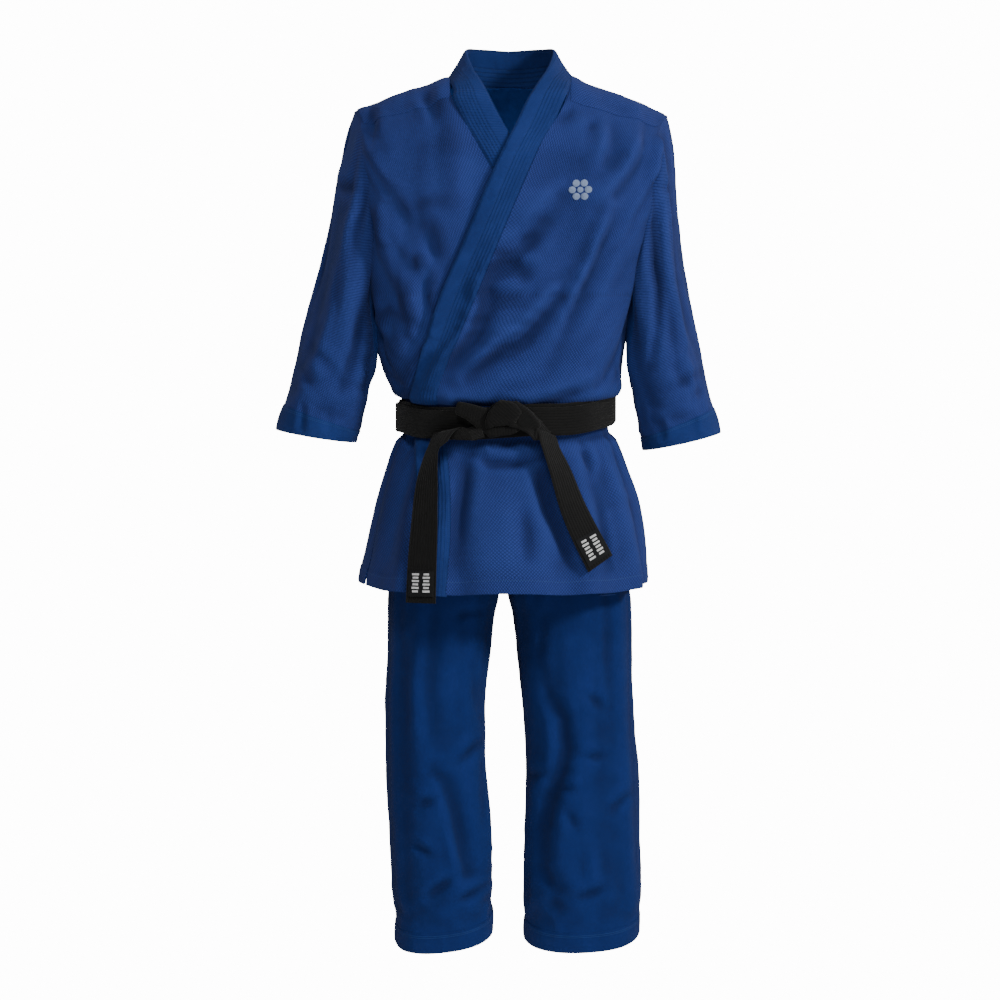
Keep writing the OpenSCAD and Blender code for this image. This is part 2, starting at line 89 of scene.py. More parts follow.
def table(rows):
    """Smooth curves of each later column against the first."""
    cols = np.array(rows, float).T
    return [smooth_line(cols[0], c) for c in cols[1:]]


def mix(a, b, t):
    return a + (b - a) * t


def clamp01(t):
    return np.clip(t, 0.0, 1.0)


def ease(t):
    t = clamp01(t)
    return t * t * (3 - 2 * t)


def swell(s, power):
    """A sine or cosine raised to a power with its sign kept. It squares a round outline."""
    return np.sign(s) * np.abs(s) ** power


def unit(v):
    return v / np.maximum(np.linalg.norm(v, axis=-1, keepdims=True), 1e-9)


def points(x, y, z):
    return np.stack(np.broadcast_arrays(x, y, z), -1).astype(float)


# ---- Noise and folds ----


def value_noise(p, size, seed):
    """Smooth noise from -1 to 1 at 3-D points, with features about size across."""
    cells = 32
    g = np.random.default_rng(seed).uniform(-1, 1, (cells, cells, cells))
    q = p / size + 100.0
    i = np.floor(q).astype(int)
    t = q - i
    t = t * t * (3 - 2 * t)
    total = 0.0
    for dx in (0, 1):
        for dy in (0, 1):
            for dz in (0, 1):
                w = (
                    (t[..., 0] if dx else 1 - t[..., 0])
                    * (t[..., 1] if dy else 1 - t[..., 1])
                    * (t[..., 2] if dz else 1 - t[..., 2])
                )
                at = (i[..., 0] + dx) % cells, (i[..., 1] + dy) % cells, (i[..., 2] + dz) % cells
                total = total + w * g[at]
    return total


def fold(x, z, line, depth, width):
    """A fold along a line of (x, z) points: a valley with low banks. A negative depth is a ridge."""
    line = np.array(line, float)
    steps = np.diff(line, axis=0)
    lengths = np.hypot(steps[:, 0], steps[:, 1])
    nearest = np.full(np.shape(x), 1e9)
    side = np.zeros(np.shape(x))
    along = np.zeros(np.shape(x))
    run = 0.0
    for a, step, size in zip(line[:-1], steps, lengths):
        d = step / size
        s = np.clip((x - a[0]) * d[0] + (z - a[1]) * d[1], 0, size)
        dx, dz = x - a[0] - s * d[0], z - a[1] - s * d[1]
        gap = np.hypot(dx, dz)
        closer = gap < nearest
        nearest = np.where(closer, gap, nearest)
        side = np.where(closer, np.sign(d[0] * dz - d[1] * dx), side)
        along = np.where(closer, (run + s) / lengths.sum(), along)
        run += size
    taper = np.sin(np.pi * np.clip(along, 0.03, 0.97)) ** 0.6
    r = nearest / width * np.where(side > 0, 0.8, 1.15)
    return -depth * taper * (1 - 1.3 * r * r) * np.exp(-r * r)


def folds(x, z, lines):
    return sum(fold(x, z, line, depth, width) for depth, width, line in lines)


# ---- The jacket's shape ----

# height, half width at the wearer's right, at the left, depth in front, behind, squareness
JACKET = [
    [-790, 226, 214, 167, 157, 3.0],
    [-780, 225, 212, 165, 155, 3.0],
    [-730, 214, 209, 152, 145, 2.9],
    [-655, 198, 199, 136, 130, 2.7],
    [-600, 186, 180, 121, 116, 2.4],
    [-562, 177, 167, 110, 104, 2.3],
    [-546, 161, 152, 100, 94, 2.3],
    [-493, 161, 153, 101, 95, 2.3],
    [-485, 174, 166, 110, 103, 2.35],
    [-470, 180, 171, 113, 106, 2.4],
    [-440, 193, 173, 120, 112, 2.6],
    [-400, 204, 177, 124, 116, 2.8],
    [-330, 211, 188, 127, 119, 3.0],
    [-180, 228, 232, 125, 117, 3.2],
    [-110, 240, 246, 113, 108, 3.2],
]
jacket_right, jacket_left, jacket_front, jacket_back, jacket_square = table(JACKET)
SHOULDER = np.array([[0, 20], [100, 6], [175, -18], [246, -47], [262, -56]], float)
SHOULDER_ROUND = 110
SHOULDER_Y = 12
ARMHOLE = 330
# degrees by which the armhole bows to the front and back
ARMHOLE_BOW = 25
DROP = 780


def ridge(x):
    """The height of the shoulder line. The wearer's left shoulder sits a little lower."""
    settle = ease((np.abs(x) - 95) / 30)
    return np.interp(np.abs(x), SHOULDER[:, 0], SHOULDER[:, 1]) - settle * np.where(x > 0, 6, 3)


def base(turn, h, out=0.0):
    """The jacket's smooth surface, moved out by out."""
    turn, h, out = np.broadcast_arrays(np.asarray(turn, float), np.asarray(h, float), np.asarray(out, float))
    s, c = np.sin(np.radians(turn)), np.cos(np.radians(turn))
    low = np.minimum(h, -SHOULDER_ROUND)
    wide = np.where(s < 0, jacket_right(low), jacket_left(low)) + out
    deep = np.where(c > 0, jacket_front(low), jacket_back(low)) + out
    power = 2 / jacket_square(low)
    x = wide * swell(s, power)
    y = -deep * swell(c, power)
    up = np.radians(90) * clamp01(1 + h / SHOULDER_ROUND)
    top = ridge(x) + out
    high = h > -SHOULDER_ROUND
    y = np.where(high, mix(SHOULDER_Y, y, np.cos(up)), y)
    z = np.where(high, mix(-SHOULDER_ROUND, top, np.sin(up)), h)
    return points(x, y, z)


def away(turn, h):
    """The direction out of the jacket's surface."""
    turn, h = np.broadcast_arrays(np.asarray(turn, float), np.asarray(h, float))
    round_way = base(turn + 0.8, h) - base(turn - 0.8, h)
    up_way = base(turn, h + 1.0) - base(turn, h - 1.0)
    return unit(np.cross(round_way, up_way))


def turn_of(x, h):
    low = np.minimum(h, -SHOULDER_ROUND)
    wide = np.where(x < 0, jacket_right(low), jacket_left(low))
    share = np.minimum(1, np.abs(x) / wide)
    return np.sign(x) * np.degrees(np.arcsin(share ** (jacket_square(low) / 2)))


def front_place(x, z):
    """The turn and height of the point of the front that shows at x, z."""
    x, z = np.broadcast_arrays(np.asarray(x, float), np.asarray(z, float))
    share = clamp01((z + SHOULDER_ROUND) / (ridge(x) + SHOULDER_ROUND))
    h = np.where(z > -SHOULDER_ROUND, -SHOULDER_ROUND * (1 - np.degrees(np.arcsin(share)) / 90), z)
    return turn_of(x, h), h


def true_height(h):
    return np.where(
        h <= -SHOULDER_ROUND,
        h,
        -SHOULDER_ROUND + 118 * np.sin(np.radians(90) * clamp01(1 + h / SHOULDER_ROUND)),
    )


# depth and width of each fold, and its line over the front, in mm
FRONT_FOLDS = [
    (9, 20, [(75, -173), (49, -212), (9, -263), (-27, -307), (-35, -346), (-53, -388), (-93, -436),
        (-113, -475)]),
    (8, 18, [(68, -330), (44, -365), (20, -393), (-22, -420), (-61, -448), (-77, -467)]),
    (4, 16, [(41, -267), (9, -310), (-14, -357)]),
    (3, 14, [(104, -35), (72, -66)]),
    (2.5, 12, [(131, -58), (120, -79)]),
    (4, 20, [(170, -50), (154, -110), (143, -142)]),
    (4, 24, [(222, -55), (198, -121), (151, -189)]),
    (5, 14, [(245, -82), (233, -137), (228, -156)]),
    (3, 14, [(160, -200), (120, -300), (70, -400)]),
    (5, 20, [(-118, -200), (-121, -267), (-137, -318), (-140, -370)]),
    (-5, 12, [(-151, -300), (-151, -386)]),
    (-4, 18, [(-187, -190), (-187, -260)]),
    (5, 14, [(-171, -354), (-195, -388)]),
    (4, 16, [(-132, -16), (-115, -63)]),
    (4, 16, [(-208, -39), (-215, -83)]),
    (5, 14, [(-120, -400), (-150, -470)]),
    (5, 12, [(28, -498), (72, -487), (112, -474)]),
    (6, 12, [(-53, -569), (-30, -582), (9, -583), (49, -572)]),
    (5, 15, [(-69, -574), (-69, -601), (-77, -653), (-85, -715)]),
    (8, 20, [(49, -577), (49, -613), (60, -653), (80, -692), (99, -731)]),
    (5, 12, [(112, -561), (131, -598)]),
    (-4, 14, [(151, -574), (167, -632), (186, -640)]),
    (5, 10, [(-153, -550), (-164, -569)]),
    (5, 14, [(-120, -560), (-128, -620)]),
    (4, 22, [(20, -640), (26, -740)]),
    (4, 20, [(140, -620), (160, -740)]),
]
BACK_FOLDS = [
    (6, 24, [(-160, -150), (-100, -300), (-60, -440)]),
    (6, 24, [(160, -150), (105, -290), (70, -450)]),
    (4, 28, [(-20, -250), (-8, -460)]),
    (6, 18, [(-140, -360), (-80, -420), (-20, -440)]),
    (6, 18, [(150, -350), (90, -415), (40, -450)]),
    (6, 22, [(60, -560), (78, -720)]),
    (6, 22, [(-70, -560), (-88, -720)]),
    (5, 24, [(0, -570), (6, -700)]),
    (5, 20, [(140, -570), (160, -680)]),
    (5, 20, [(-140, -570), (-165, -680)]),
    (3, 20, [(-120, -60), (-60, -95)]),
    (3, 20, [(120, -60), (60, -95)]),
]


def gathers(p, turn):
    """Small pleats where the belt draws the cloth in."""
    z = p[..., 2]
    near = 2.6 * np.exp(-(((z + 466) / 26) ** 2)) + 3.0 * np.exp(-(((z + 566) / 30) ** 2))
    wander = value_noise(p, 60, 21) * 2.2
    wide = np.sin(np.radians(turn) * 23 + wander)
    narrow = np.sin(np.radians(turn) * 37 + 1.3 + wander * 1.7)
    return near * (wide * 0.6 + narrow * 0.4) * (0.6 + 0.6 * value_noise(p, 90, 22))


def jacket_relief(turn, h):
    p = base(turn, h)
    x, z = p[..., 0], p[..., 2]
    facing = np.cos(np.radians(turn))
    front = ease(facing * 4)
    back = ease(-facing * 4)
    total = 1.9 * front * folds(x, z, FRONT_FOLDS) + 1.3 * back * folds(x, z, BACK_FOLDS)
    total = total + 1.7 * value_noise(p, 95, 1) + 0.6 * value_noise(p, 38, 2) + 0.25 * value_noise(p, 17, 3)
    skirt = ease((-600 - z) / 150)
    total = total + gathers(p, turn) + skirt * 3.5 * np.sin(np.radians(turn) * 7 + 0.8)
    tight = np.exp(-(((z + 516) / 26) ** 2))
    return total * (1 - 0.9 * tight)


# ---- Cloth simulation ----


def grid_faces(rows, cols, wrap):
    r, c = np.meshgrid(np.arange(rows - 1), np.arange(cols if wrap else cols - 1), indexing="ij")
    r, c = r.ravel(), c.ravel()
    following = (c + 1) % cols
    return np.stack([r * cols + c, r * cols + following, (r + 1) * cols + following, (r + 1) * cols + c], -1)


def ring_faces(rows, cols):
    """The faces of a grid that closes on itself both ways."""
    return grid_faces(rows + 1, cols, True) % (rows * cols)


def grid_normals(p, wrap=False):
    if wrap:
        q = np.concatenate([p[:, -1:], p, p[:, :1]], axis=1)
        across = q[:, 2:] - q[:, :-2]
    else:
        across = np.gradient(p, axis=1)
    return unit(np.cross(across, np.gradient(p, axis=0)))


def soften(values, rounds=2):
    """Evens a grid out with its neighbours. Its columns go right round."""
    for _ in range(rounds):
        values = (np.roll(values, 1, 1) + 2 * values + np.roll(values, -1, 1)) / 4
        edge = np.pad(values, ((1, 1), (0, 0)), mode="edge")
        values = (edge[:-2] + 2 * edge[1:-1] + edge[2:]) / 4
    return values


def simulate(name, p, held, growth, outward, frames=26, most=11.0):
    """Lets a tube of cloth that is a little too long and wide hang and buckle.

    Returns how far each point moves outward, in mm. p is every point of the tube, held is 1 where the
    cloth can't move, and outward is 1 or -1 for the way its grid faces."""
    coarse = p[::2, ::2]
    rows, cols = coarse.shape[:2]
    mesh = bpy.data.meshes.new(name)
    faces = grid_faces(rows, cols, True)[:, ::outward]
    mesh.from_pydata((coarse.reshape(-1, 3) * MM).tolist(), [], faces.tolist())
    obj = bpy.data.objects.new(name, mesh)
    bpy.context.scene.collection.objects.link(obj)
    group = obj.vertex_groups.new(name="held")
    for i in np.flatnonzero(held[::2, ::2] > 0):
        group.add([int(i)], 1.0, "REPLACE")
    cloth = obj.modifiers.new("cloth", "CLOTH")
    how = cloth.settings
    how.quality = 6
    how.mass = 0.25
    how.tension_stiffness = 18
    how.compression_stiffness = 18
    how.shear_stiffness = 6
    how.bending_stiffness = 0.35
    how.air_damping = 2
    how.vertex_group_mass = "held"
    how.pin_stiffness = 1
    how.shrink_min = -growth
    how.use_pressure = True
    how.uniform_pressure_force = 0.25
    cloth.collision_settings.use_collision = False
    cloth.point_cache.frame_start = 1
    cloth.point_cache.frame_end = frames
    scene = bpy.context.scene
    for f in range(1, frames + 1):
        scene.frame_set(f)
    shape = obj.evaluated_get(bpy.context.evaluated_depsgraph_get())
    co = np.zeros(rows * cols * 3)
    shape.data.vertices.foreach_get("co", co)
    scene.frame_set(1)
    bpy.data.objects.remove(obj, do_unlink=True)
    bpy.data.meshes.remove(mesh)
    moved = co.reshape(rows, cols, 3) / MM - coarse
    n = grid_normals(coarse, wrap=True) * outward
    amount = np.sum(moved * n, -1)
    amount = np.where(np.isfinite(amount), amount, 0)
    amount = amount - soften(amount, 40)
    amount = most * np.tanh(amount / most)
    row = np.arange(p.shape[0]) / 2
    low = np.minimum(np.floor(row).astype(int), rows - 1)
    high = np.minimum(low + 1, rows - 1)
    part = (row - low)[:, None]
    tall = amount[low] * (1 - part) + amount[high] * part
    col = np.arange(p.shape[1]) / 2
    left = np.floor(col).astype(int) % cols
    right = (left + 1) % cols
    wide = tall[:, left] * (1 - (col % 1)) + tall[:, right] * (col % 1)
    return soften(wide)


TURNS = np.arange(-180, 181, 1.5)
HEIGHTS = np.arange(-792, 1, 4.0)
grid_turn, grid_h = np.meshgrid(TURNS, HEIGHTS)
relief_grid = jacket_relief(grid_turn, grid_h)
rest_grid = base(grid_turn, grid_h) + away(grid_turn, grid_h) * relief_grid[..., None]
held_grid = ((grid_h > -16) | ((grid_h < -488) & (grid_h > -548))).astype(float)
sim_grid = simulate("body_sim", rest_grid[:, :-1], held_grid[:, :-1], 0.045, 1)
sim_grid = np.concatenate([sim_grid, sim_grid[:, :1]], axis=1)
calm = 1 - np.exp(-(((grid_h + 518) / 34) ** 2))
relief_grid = relief_grid + sim_grid * calm * 0.8 * ease(-grid_h / 60)


def at_grid(values, turn, h):
    """The grid's value at any turn and height."""
    turn = (np.asarray(turn, float) + 180) % 360 - 180
    u = (turn - TURNS[0]) / (TURNS[1] - TURNS[0])
    v = (np.clip(h, HEIGHTS[0], HEIGHTS[-1]) - HEIGHTS[0]) / (HEIGHTS[1] - HEIGHTS[0])
    i = np.clip(np.floor(u).astype(int), 0, len(TURNS) - 2)
    j = np.clip(np.floor(v).astype(int), 0, len(HEIGHTS) - 2)
    u, v = u - i, v - j
    return (
        values[j, i] * (1 - u) * (1 - v)
        + values[j, i + 1] * u * (1 - v)
        + values[j + 1, i] * (1 - u) * v
        + values[j + 1, i + 1] * u * v
    )


SKIRT_SAG = 6


def jacket(turn, h, out=0.0):
    """The jacket's folded surface. Everything sewn to the jacket follows it."""
    turn, h, out = np.broadcast_arrays(np.asarray(turn, float), np.asarray(h, float), np.asarray(out, float))
    p = base(turn, h, out) + away(turn, h) * at_grid(relief_grid, turn, h)[..., None]
    front = np.maximum(0, np.cos(np.radians(turn)))
    p[..., 2] -= SKIRT_SAG * front * ease((-430 - h) / 80)
    return p


# ---- Mesh building ----


def new_mesh(name, verts, faces, face_uvs, sharp=60):
    """An object with its mesh, smooth shading and a UV map in metres."""
    mesh = bpy.data.meshes.new(name)
    mesh.from_pydata((np.asarray(verts, float) * MM).tolist(), [], [list(map(int, f)) for f in faces])
    layer = mesh.uv_layers.new(name="metres")
    layer.data.foreach_set("uv",
        (np.concatenate([np.asarray(u, float).reshape(-1, 2) for u in face_uvs]) * MM).ravel())
    obj = bpy.data.objects.new(name, mesh)
    bpy.context.scene.collection.objects.link(obj)
    bm = bmesh.new()
    bm.from_mesh(mesh)
    bmesh.ops.recalc_face_normals(bm, faces=bm.faces)
    bm.to_mesh(mesh)
    bm.free()
    mesh.polygons.foreach_set("use_smooth", [True] * len(mesh.polygons))
    mesh.set_sharp_from_angle(angle=math.radians(sharp))
    return obj


def sheet(name, outer, inner, uv, wrap=False):
    """A closed piece of cloth between two grids. uv has one more column than the grids when they wrap."""
    rows, cols = outer.shape[:2]
    count = rows * cols
    verts = np.concatenate([outer.reshape(-1, 3), inner.reshape(-1, 3)])
    quads = grid_faces(rows, cols, wrap)
    wide = cols + 1 if wrap else cols
    flat_uv = uv.reshape(-1, 2)
    corner = grid_faces(rows, wide, False)
    faces = [quads, quads[:, ::-1] + count]
    uvs = [flat_uv[corner], flat_uv[corner[:, ::-1]]]
    edges = []
    for row in (0, rows - 1):
        for k in range(wide - 1):
            edges.append((row * cols + k, row * cols + (k + 1) % cols, row * wide + k, row * wide + k + 1))
    if not wrap:
        for col in (0, cols - 1):
            for k in range(rows - 1):
                edges.append((k * cols + col, (k + 1) * cols + col, k * cols + col, (k + 1) * cols + col))
    edges = np.array(edges)
    faces.append(np.stack([edges[:, 0], edges[:, 1], edges[:, 1] + count, edges[:, 0] + count], -1))
    uvs.append(flat_uv[np.stack([edges[:, 2], edges[:, 3], edges[:, 3], edges[:, 2]], -1)])
    return new_mesh(name, verts, np.concatenate(faces), uvs)


def tube(name, rows, uv):
    """A closed piece from cross-sections that each go right round, with capped ends."""
    count, cols = rows.shape[:2]
    wide = cols + 1
    verts = rows.reshape(-1, 3)
    flat_uv = uv.reshape(-1, 2)
    quads = grid_faces(count, cols, True)
    faces = [list(q) for q in quads]
    uvs = [flat_uv[grid_faces(count, wide, False)]]
    half = cols // 2
    for start in (0, (count - 1) * cols):
        row = start // cols
        for k in range(half - 1):
            cap = np.array([k, k + 1, cols - 2 - k, cols - 1 - k])
            faces.append((start + cap).tolist())
            uvs.append(flat_uv[row * wide + cap])
    return new_mesh(name, verts, faces, uvs)


def strap_uv(across, run):
    """Flat lengths for rows that each go right round a strap."""
    return np.stack(np.broadcast_arrays(np.append(across, across[0])[None, :], run[:, None]), -1)


def round_edge(outer, inner, row, share=0.25):
    """Draws the two faces of a hem together at one row."""
    outer[row], inner[row] = mix(outer[row], inner[row], share), mix(outer[row], inner[row], 1 - share)


def facing_out(p, centre):
    """The normals of a grid, facing away from a point."""
    n = grid_normals(p)
    return -n if np.mean(np.sum(n * (p - centre), -1)) < 0 else n


def lengths_along(p, axis):
    """The distance along a grid's rows or columns, from its first."""
    step = np.linalg.norm(np.diff(p, axis=axis), axis=-1)
    start = np.zeros_like(np.take(step, [0], axis=axis))
    return np.concatenate([start, np.cumsum(step, axis=axis)], axis=axis)


def cloth_uv(p, wrap=False):
    """Flat lengths across and along a grid of points, in mm, so that the weave keeps its size."""
    if wrap:
        p = np.concatenate([p, p[:, :1]], axis=1)
    across = lengths_along(p, 1)
    mean = across.mean(0)
    along = lengths_along(p, 0).mean(1)
    centre = across[:, [-1]] / 2
    u = (across - centre) * 0.5 + (mean - mean[-1] / 2)[None, :] * 0.5
    return np.stack([u + 1000, np.broadcast_to(along[:, None] + 1000, across.shape)], -1)


def hollows(p, n, wrap):
    """How deep each point lies in a valley of the cloth, from -1 on a ridge to 1."""
    margin = 12
    wide = p if wrap else np.concatenate([p[:, :1]] * margin + [p] + [p[:, -1:]] * margin, axis=1)
    even = np.stack([soften(wide[..., k], 26) for k in range(3)], -1)
    even = even if wrap else even[:, margin:-margin]
    depth = np.sum((even - p) * n, -1)
    depth = depth - soften(depth, 6).mean()
    fade = np.minimum(1, np.arange(len(p)) / 6)
    return np.tanh(depth / 3.5) * np.minimum(fade, fade[::-1])[:, None]


def thick(name, p, thickness=CLOTH, wrap=False, normal=None):
    """A sheet of even thickness around a grid of middle points, which stores how deep each point lies in a
    valley, for painted fold shade and highlight.
    """
    n = grid_normals(p, wrap) if normal is None else normal
    obj = sheet(name, p + n * thickness / 2, p - n * thickness / 2, cloth_uv(p, wrap), wrap)
    wear_and_fold_shade = hollows(p, n, wrap).ravel()
    obj.data.attributes.new("hollow", "FLOAT", "POINT").data.foreach_set("value",
        np.concatenate([wear_and_fold_shade, wear_and_fold_shade]))
    return obj


# ---- Materials ----


class Graph:
    """A short way to write a material's nodes."""

    def __init__(self, name):
        self.material = bpy.data.materials.new(name)
        self.material.use_nodes = True
        self.nodes = self.material.node_tree.nodes
        self.links = self.material.node_tree.links
        self.nodes.clear()
        self.out = self.nodes.new("ShaderNodeOutputMaterial")
        self.shader = self.nodes.new("ShaderNodeBsdfPrincipled")
        self.links.new(self.shader.outputs["BSDF"], self.out.inputs["Surface"])
        uv = self.nodes.new("ShaderNodeUVMap")
        uv.uv_map = "metres"
        self.uv = uv.outputs["UV"]
        split = self.nodes.new("ShaderNodeSeparateXYZ")
        self.links.new(self.uv, split.inputs[0])
        self.u, self.v = split.outputs["X"], split.outputs["Y"]

    def math(self, operation, *values):
        node = self.nodes.new("ShaderNodeMath")
        node.operation = operation
        for k, value in enumerate(values):
            if isinstance(value, (int, float)):
                node.inputs[k].default_value = value
            else:
                self.links.new(value, node.inputs[k])
        return node.outputs[0]

    def add(self, *values):
        total = values[0]
        for value in values[1:]:
            total = self.math("ADD", total, value)
        return total

    def times(self, a, b):
        return self.math("MULTIPLY", a, b)

    def noise(self, scale, detail=3.0, rough=0.55, stretch=None):
        node = self.nodes.new("ShaderNodeTexNoise")
        node.inputs["Scale"].default_value = scale
        node.inputs["Detail"].default_value = detail
        node.inputs["Roughness"].default_value = rough
        place = self.uv
        if stretch:
            mapping = self.nodes.new("ShaderNodeMapping")
            mapping.inputs["Scale"].default_value = (stretch[0], stretch[1], 1)
            self.links.new(self.uv, mapping.inputs["Vector"])
            place = mapping.outputs[0]
        self.links.new(place, node.inputs["Vector"])
        return node.outputs[0]

    def wave(self, value, period, shift=0.0):
        """A sine of period metres."""
        return self.math("SINE", self.math("MULTIPLY_ADD", value, 2 * math.pi / period, shift))

    def colour(self, factor, dark, light, low=0.0, high=1.0):
        ramp = self.nodes.new("ShaderNodeValToRGB")
        ramp.color_ramp.elements[0].position = low
        ramp.color_ramp.elements[0].color = (*dark, 1)
        ramp.color_ramp.elements[1].position = high
        ramp.color_ramp.elements[1].color = (*light, 1)
        self.links.new(factor, ramp.inputs[0])
        return ramp.outputs[0]

    def blend(self, factor, a, b):
        node = self.nodes.new("ShaderNodeMix")
        node.data_type = "RGBA"
        self.links.new(factor, node.inputs["Factor"])
        for k, value in ((6, a), (7, b)):
            if isinstance(value, tuple):
                node.inputs[k].default_value = (*value, 1)
            else:
                self.links.new(value, node.inputs[k])
        return node.outputs[2]

    def dips(self, rows, width):
        """Soft dents along some lines: 1 in the middle of each, 0 away from them."""
        total = None
        for centre in rows:
            near = self.math("SUBTRACT", self.u, centre)
            dip = self.math("EXPONENT", self.times(self.times(near, near), -1 / (2 * width**2)))
            total = dip if total is None else self.math("MAXIMUM", total, dip)
        return total

    def thread_rows(self, value, along, centres, half=0.00045, stitch=0.0032):
        """Rows of stitches at some values across: 1 on the thread, 0 off it."""
        total = None
        for centre in centres:
            row = self.math("COMPARE", value, centre, half)
            total = row if total is None else self.math("MAXIMUM", total, row)
        dash = self.math("LESS_THAN", self.math("FRACT", self.math("DIVIDE", along, stitch)), 0.72)
        return self.times(total, dash)

    def wear_and_fold_shade(self, colour, dark, light):
        """Painted shade in the cloth's valleys and painted highlight on its ridges, read from the hollow
        attribute.
        """
        node = self.nodes.new("ShaderNodeAttribute")
        node.attribute_name = "hollow"
        deep = self.times(self.math("MAXIMUM", node.outputs["Fac"], 0), 0.62)
        high = self.times(self.math("MAXIMUM", self.times(node.outputs["Fac"], -1), 0), 0.25)
        return self.blend(high, self.blend(deep, colour, dark), light)

    def finish(self, colour, height, depth, rough=0.85, sheen=0.35, tint=(0.25, 0.4, 0.8)):
        shader = self.shader.inputs
        self.links.new(colour, shader["Base Color"])
        wear_and_fold_shade = self.nodes.new("ShaderNodeMapRange")
        wear_and_fold_shade.inputs["To Min"].default_value = rough - 0.06
        wear_and_fold_shade.inputs["To Max"].default_value = min(1.0, rough + 0.08)
        self.links.new(self.noise(60), wear_and_fold_shade.inputs["Value"])
        self.links.new(wear_and_fold_shade.outputs[0], shader["Roughness"])
        shader["Specular IOR Level"].default_value = 0.18
        shader["Sheen Weight"].default_value = sheen * 0.2
        shader["Sheen Roughness"].default_value = 0.45
        shader["Sheen Tint"].default_value = (*tint, 1)
        bump = self.nodes.new("ShaderNodeBump")
        bump.inputs["Strength"].default_value = 1.0
        bump.inputs["Distance"].default_value = depth
        self.links.new(height, bump.inputs["Height"])
        self.links.new(bump.outputs[0], shader["Normal"])
        return self.material


PEARL_DARK, PEARL_LIGHT = (0.0018, 0.0070, 0.051), (0.0250, 0.0450, 0.212)
# painted shade colour for the valleys of the folds and painted highlight colour for their ridges
PEARL_VALLEY_SHADE, PEARL_RIDGE_HIGHLIGHT = (0.0012, 0.0050, 0.037), (0.0270, 0.0580, 0.250)
DRILL_DARK, DRILL_LIGHT = (0.0032, 0.0125, 0.078), (0.0160, 0.0400, 0.190)
TROUSER_DARK, TROUSER_LIGHT = (0.0016, 0.0105, 0.074), (0.0066, 0.0235, 0.143)
BELT_DARK, BELT_LIGHT = (0.0010, 0.0010, 0.0010), (0.0052, 0.0050, 0.0047)


def pearl_material(name="pearl_weave", hem_rows=()):
    g = Graph(name)
    u, v = g.math("DIVIDE", g.u, 0.0044), g.math("DIVIDE", g.v, 0.0056)
    wander = g.times(g.math("SUBTRACT", g.noise(160, 2), 0.5), 0.55)
    one = g.math("ABSOLUTE", g.math("SINE", g.times(g.add(u, v, wander), math.pi)))
    two = g.math("ABSOLUTE", g.math("SINE", g.times(g.math("SUBTRACT", u, g.add(v, wander)), math.pi)))
    grain = g.math("POWER", g.times(one, two), 0.6)
    fibre = g.noise(2600, 2, stretch=(1, 3))
    shade = g.add(g.times(grain, 0.62), g.times(g.noise(9, 4), 0.34), g.times(fibre, 0.14), 0.08)
    colour = g.colour(shade, PEARL_DARK, PEARL_LIGHT, 0.18, 1.0)
    height = g.add(grain, g.times(fibre, 0.25))
    if hem_rows:
        thread = g.thread_rows(g.v, g.u, hem_rows)
        colour = g.blend(g.times(thread, 0.3), colour, (0.05, 0.13, 0.36))
        height = g.math("SUBTRACT", height, g.times(thread, 0.8))
    # painted shade in the valleys of the folds and painted highlight on their ridges
    colour = g.wear_and_fold_shade(colour, PEARL_VALLEY_SHADE, PEARL_RIDGE_HIGHLIGHT)
    return g.finish(colour, height, 0.0007, sheen=0.30)


def drill_material(name, dark, light, rows=(), cross=0.0, seam=None):
    """Cotton drill: fine slanting ribs, with rows of stitching at the given distances across."""
    g = Graph(name)
    rib = g.wave(g.add(g.u, g.v), 0.0011)
    fibre = g.noise(1900, 2, stretch=(1, 2))
    cloudy = g.noise(14, 5, 0.6)
    slub = g.add(g.times(g.noise(260, 3, stretch=(1, 9)), 0.5), g.times(g.noise(300, 3, stretch=(9, 1)), 0.5))
    height = g.add(g.times(rib, 0.3), g.times(fibre, 0.5))
    shade = g.add(g.times(rib, 0.05), g.times(cloudy, 0.42), g.times(fibre, 0.16), g.times(slub, 0.42))
    colour = g.colour(shade, dark, light, 0.32, 0.70)
    if rows:
        pucker = g.dips(rows, 0.0011)
        thread = g.thread_rows(g.u, g.v, rows)
        beat = g.times(g.wave(g.v, 0.0064), 0.35)
        height = g.math("SUBTRACT", height, g.times(pucker, g.add(1.5, beat)))
        height = g.add(height, g.times(thread, 0.9))
        # painted shade in the puckered dents along the stitching
        colour = g.blend(g.times(pucker, 0.35), colour, dark)
        colour = g.blend(g.times(thread, 0.22), colour, (0.040, 0.10, 0.30))
    if cross:
        ribs = g.wave(g.v, cross)
        height = g.add(height, g.times(ribs, 0.8))
        # painted shade in the troughs between the quilting ribs
        colour = g.blend(g.times(g.math("MAXIMUM", g.times(ribs, -1), 0), 0.3), colour, dark)
    if seam is not None:
        thread = g.thread_rows(g.v, g.u, seam)
        colour = g.blend(g.times(thread, 0.22), colour, (0.045, 0.13, 0.38))
        height = g.math("SUBTRACT", height, g.times(thread, 0.8))
    # painted shade in the valleys of the folds and painted highlight on their ridges
    colour = g.wear_and_fold_shade(colour, tuple(0.45 * k for k in dark), tuple(1.2 * k for k in light))
    return g.finish(colour, height, 0.00035, sheen=0.28)


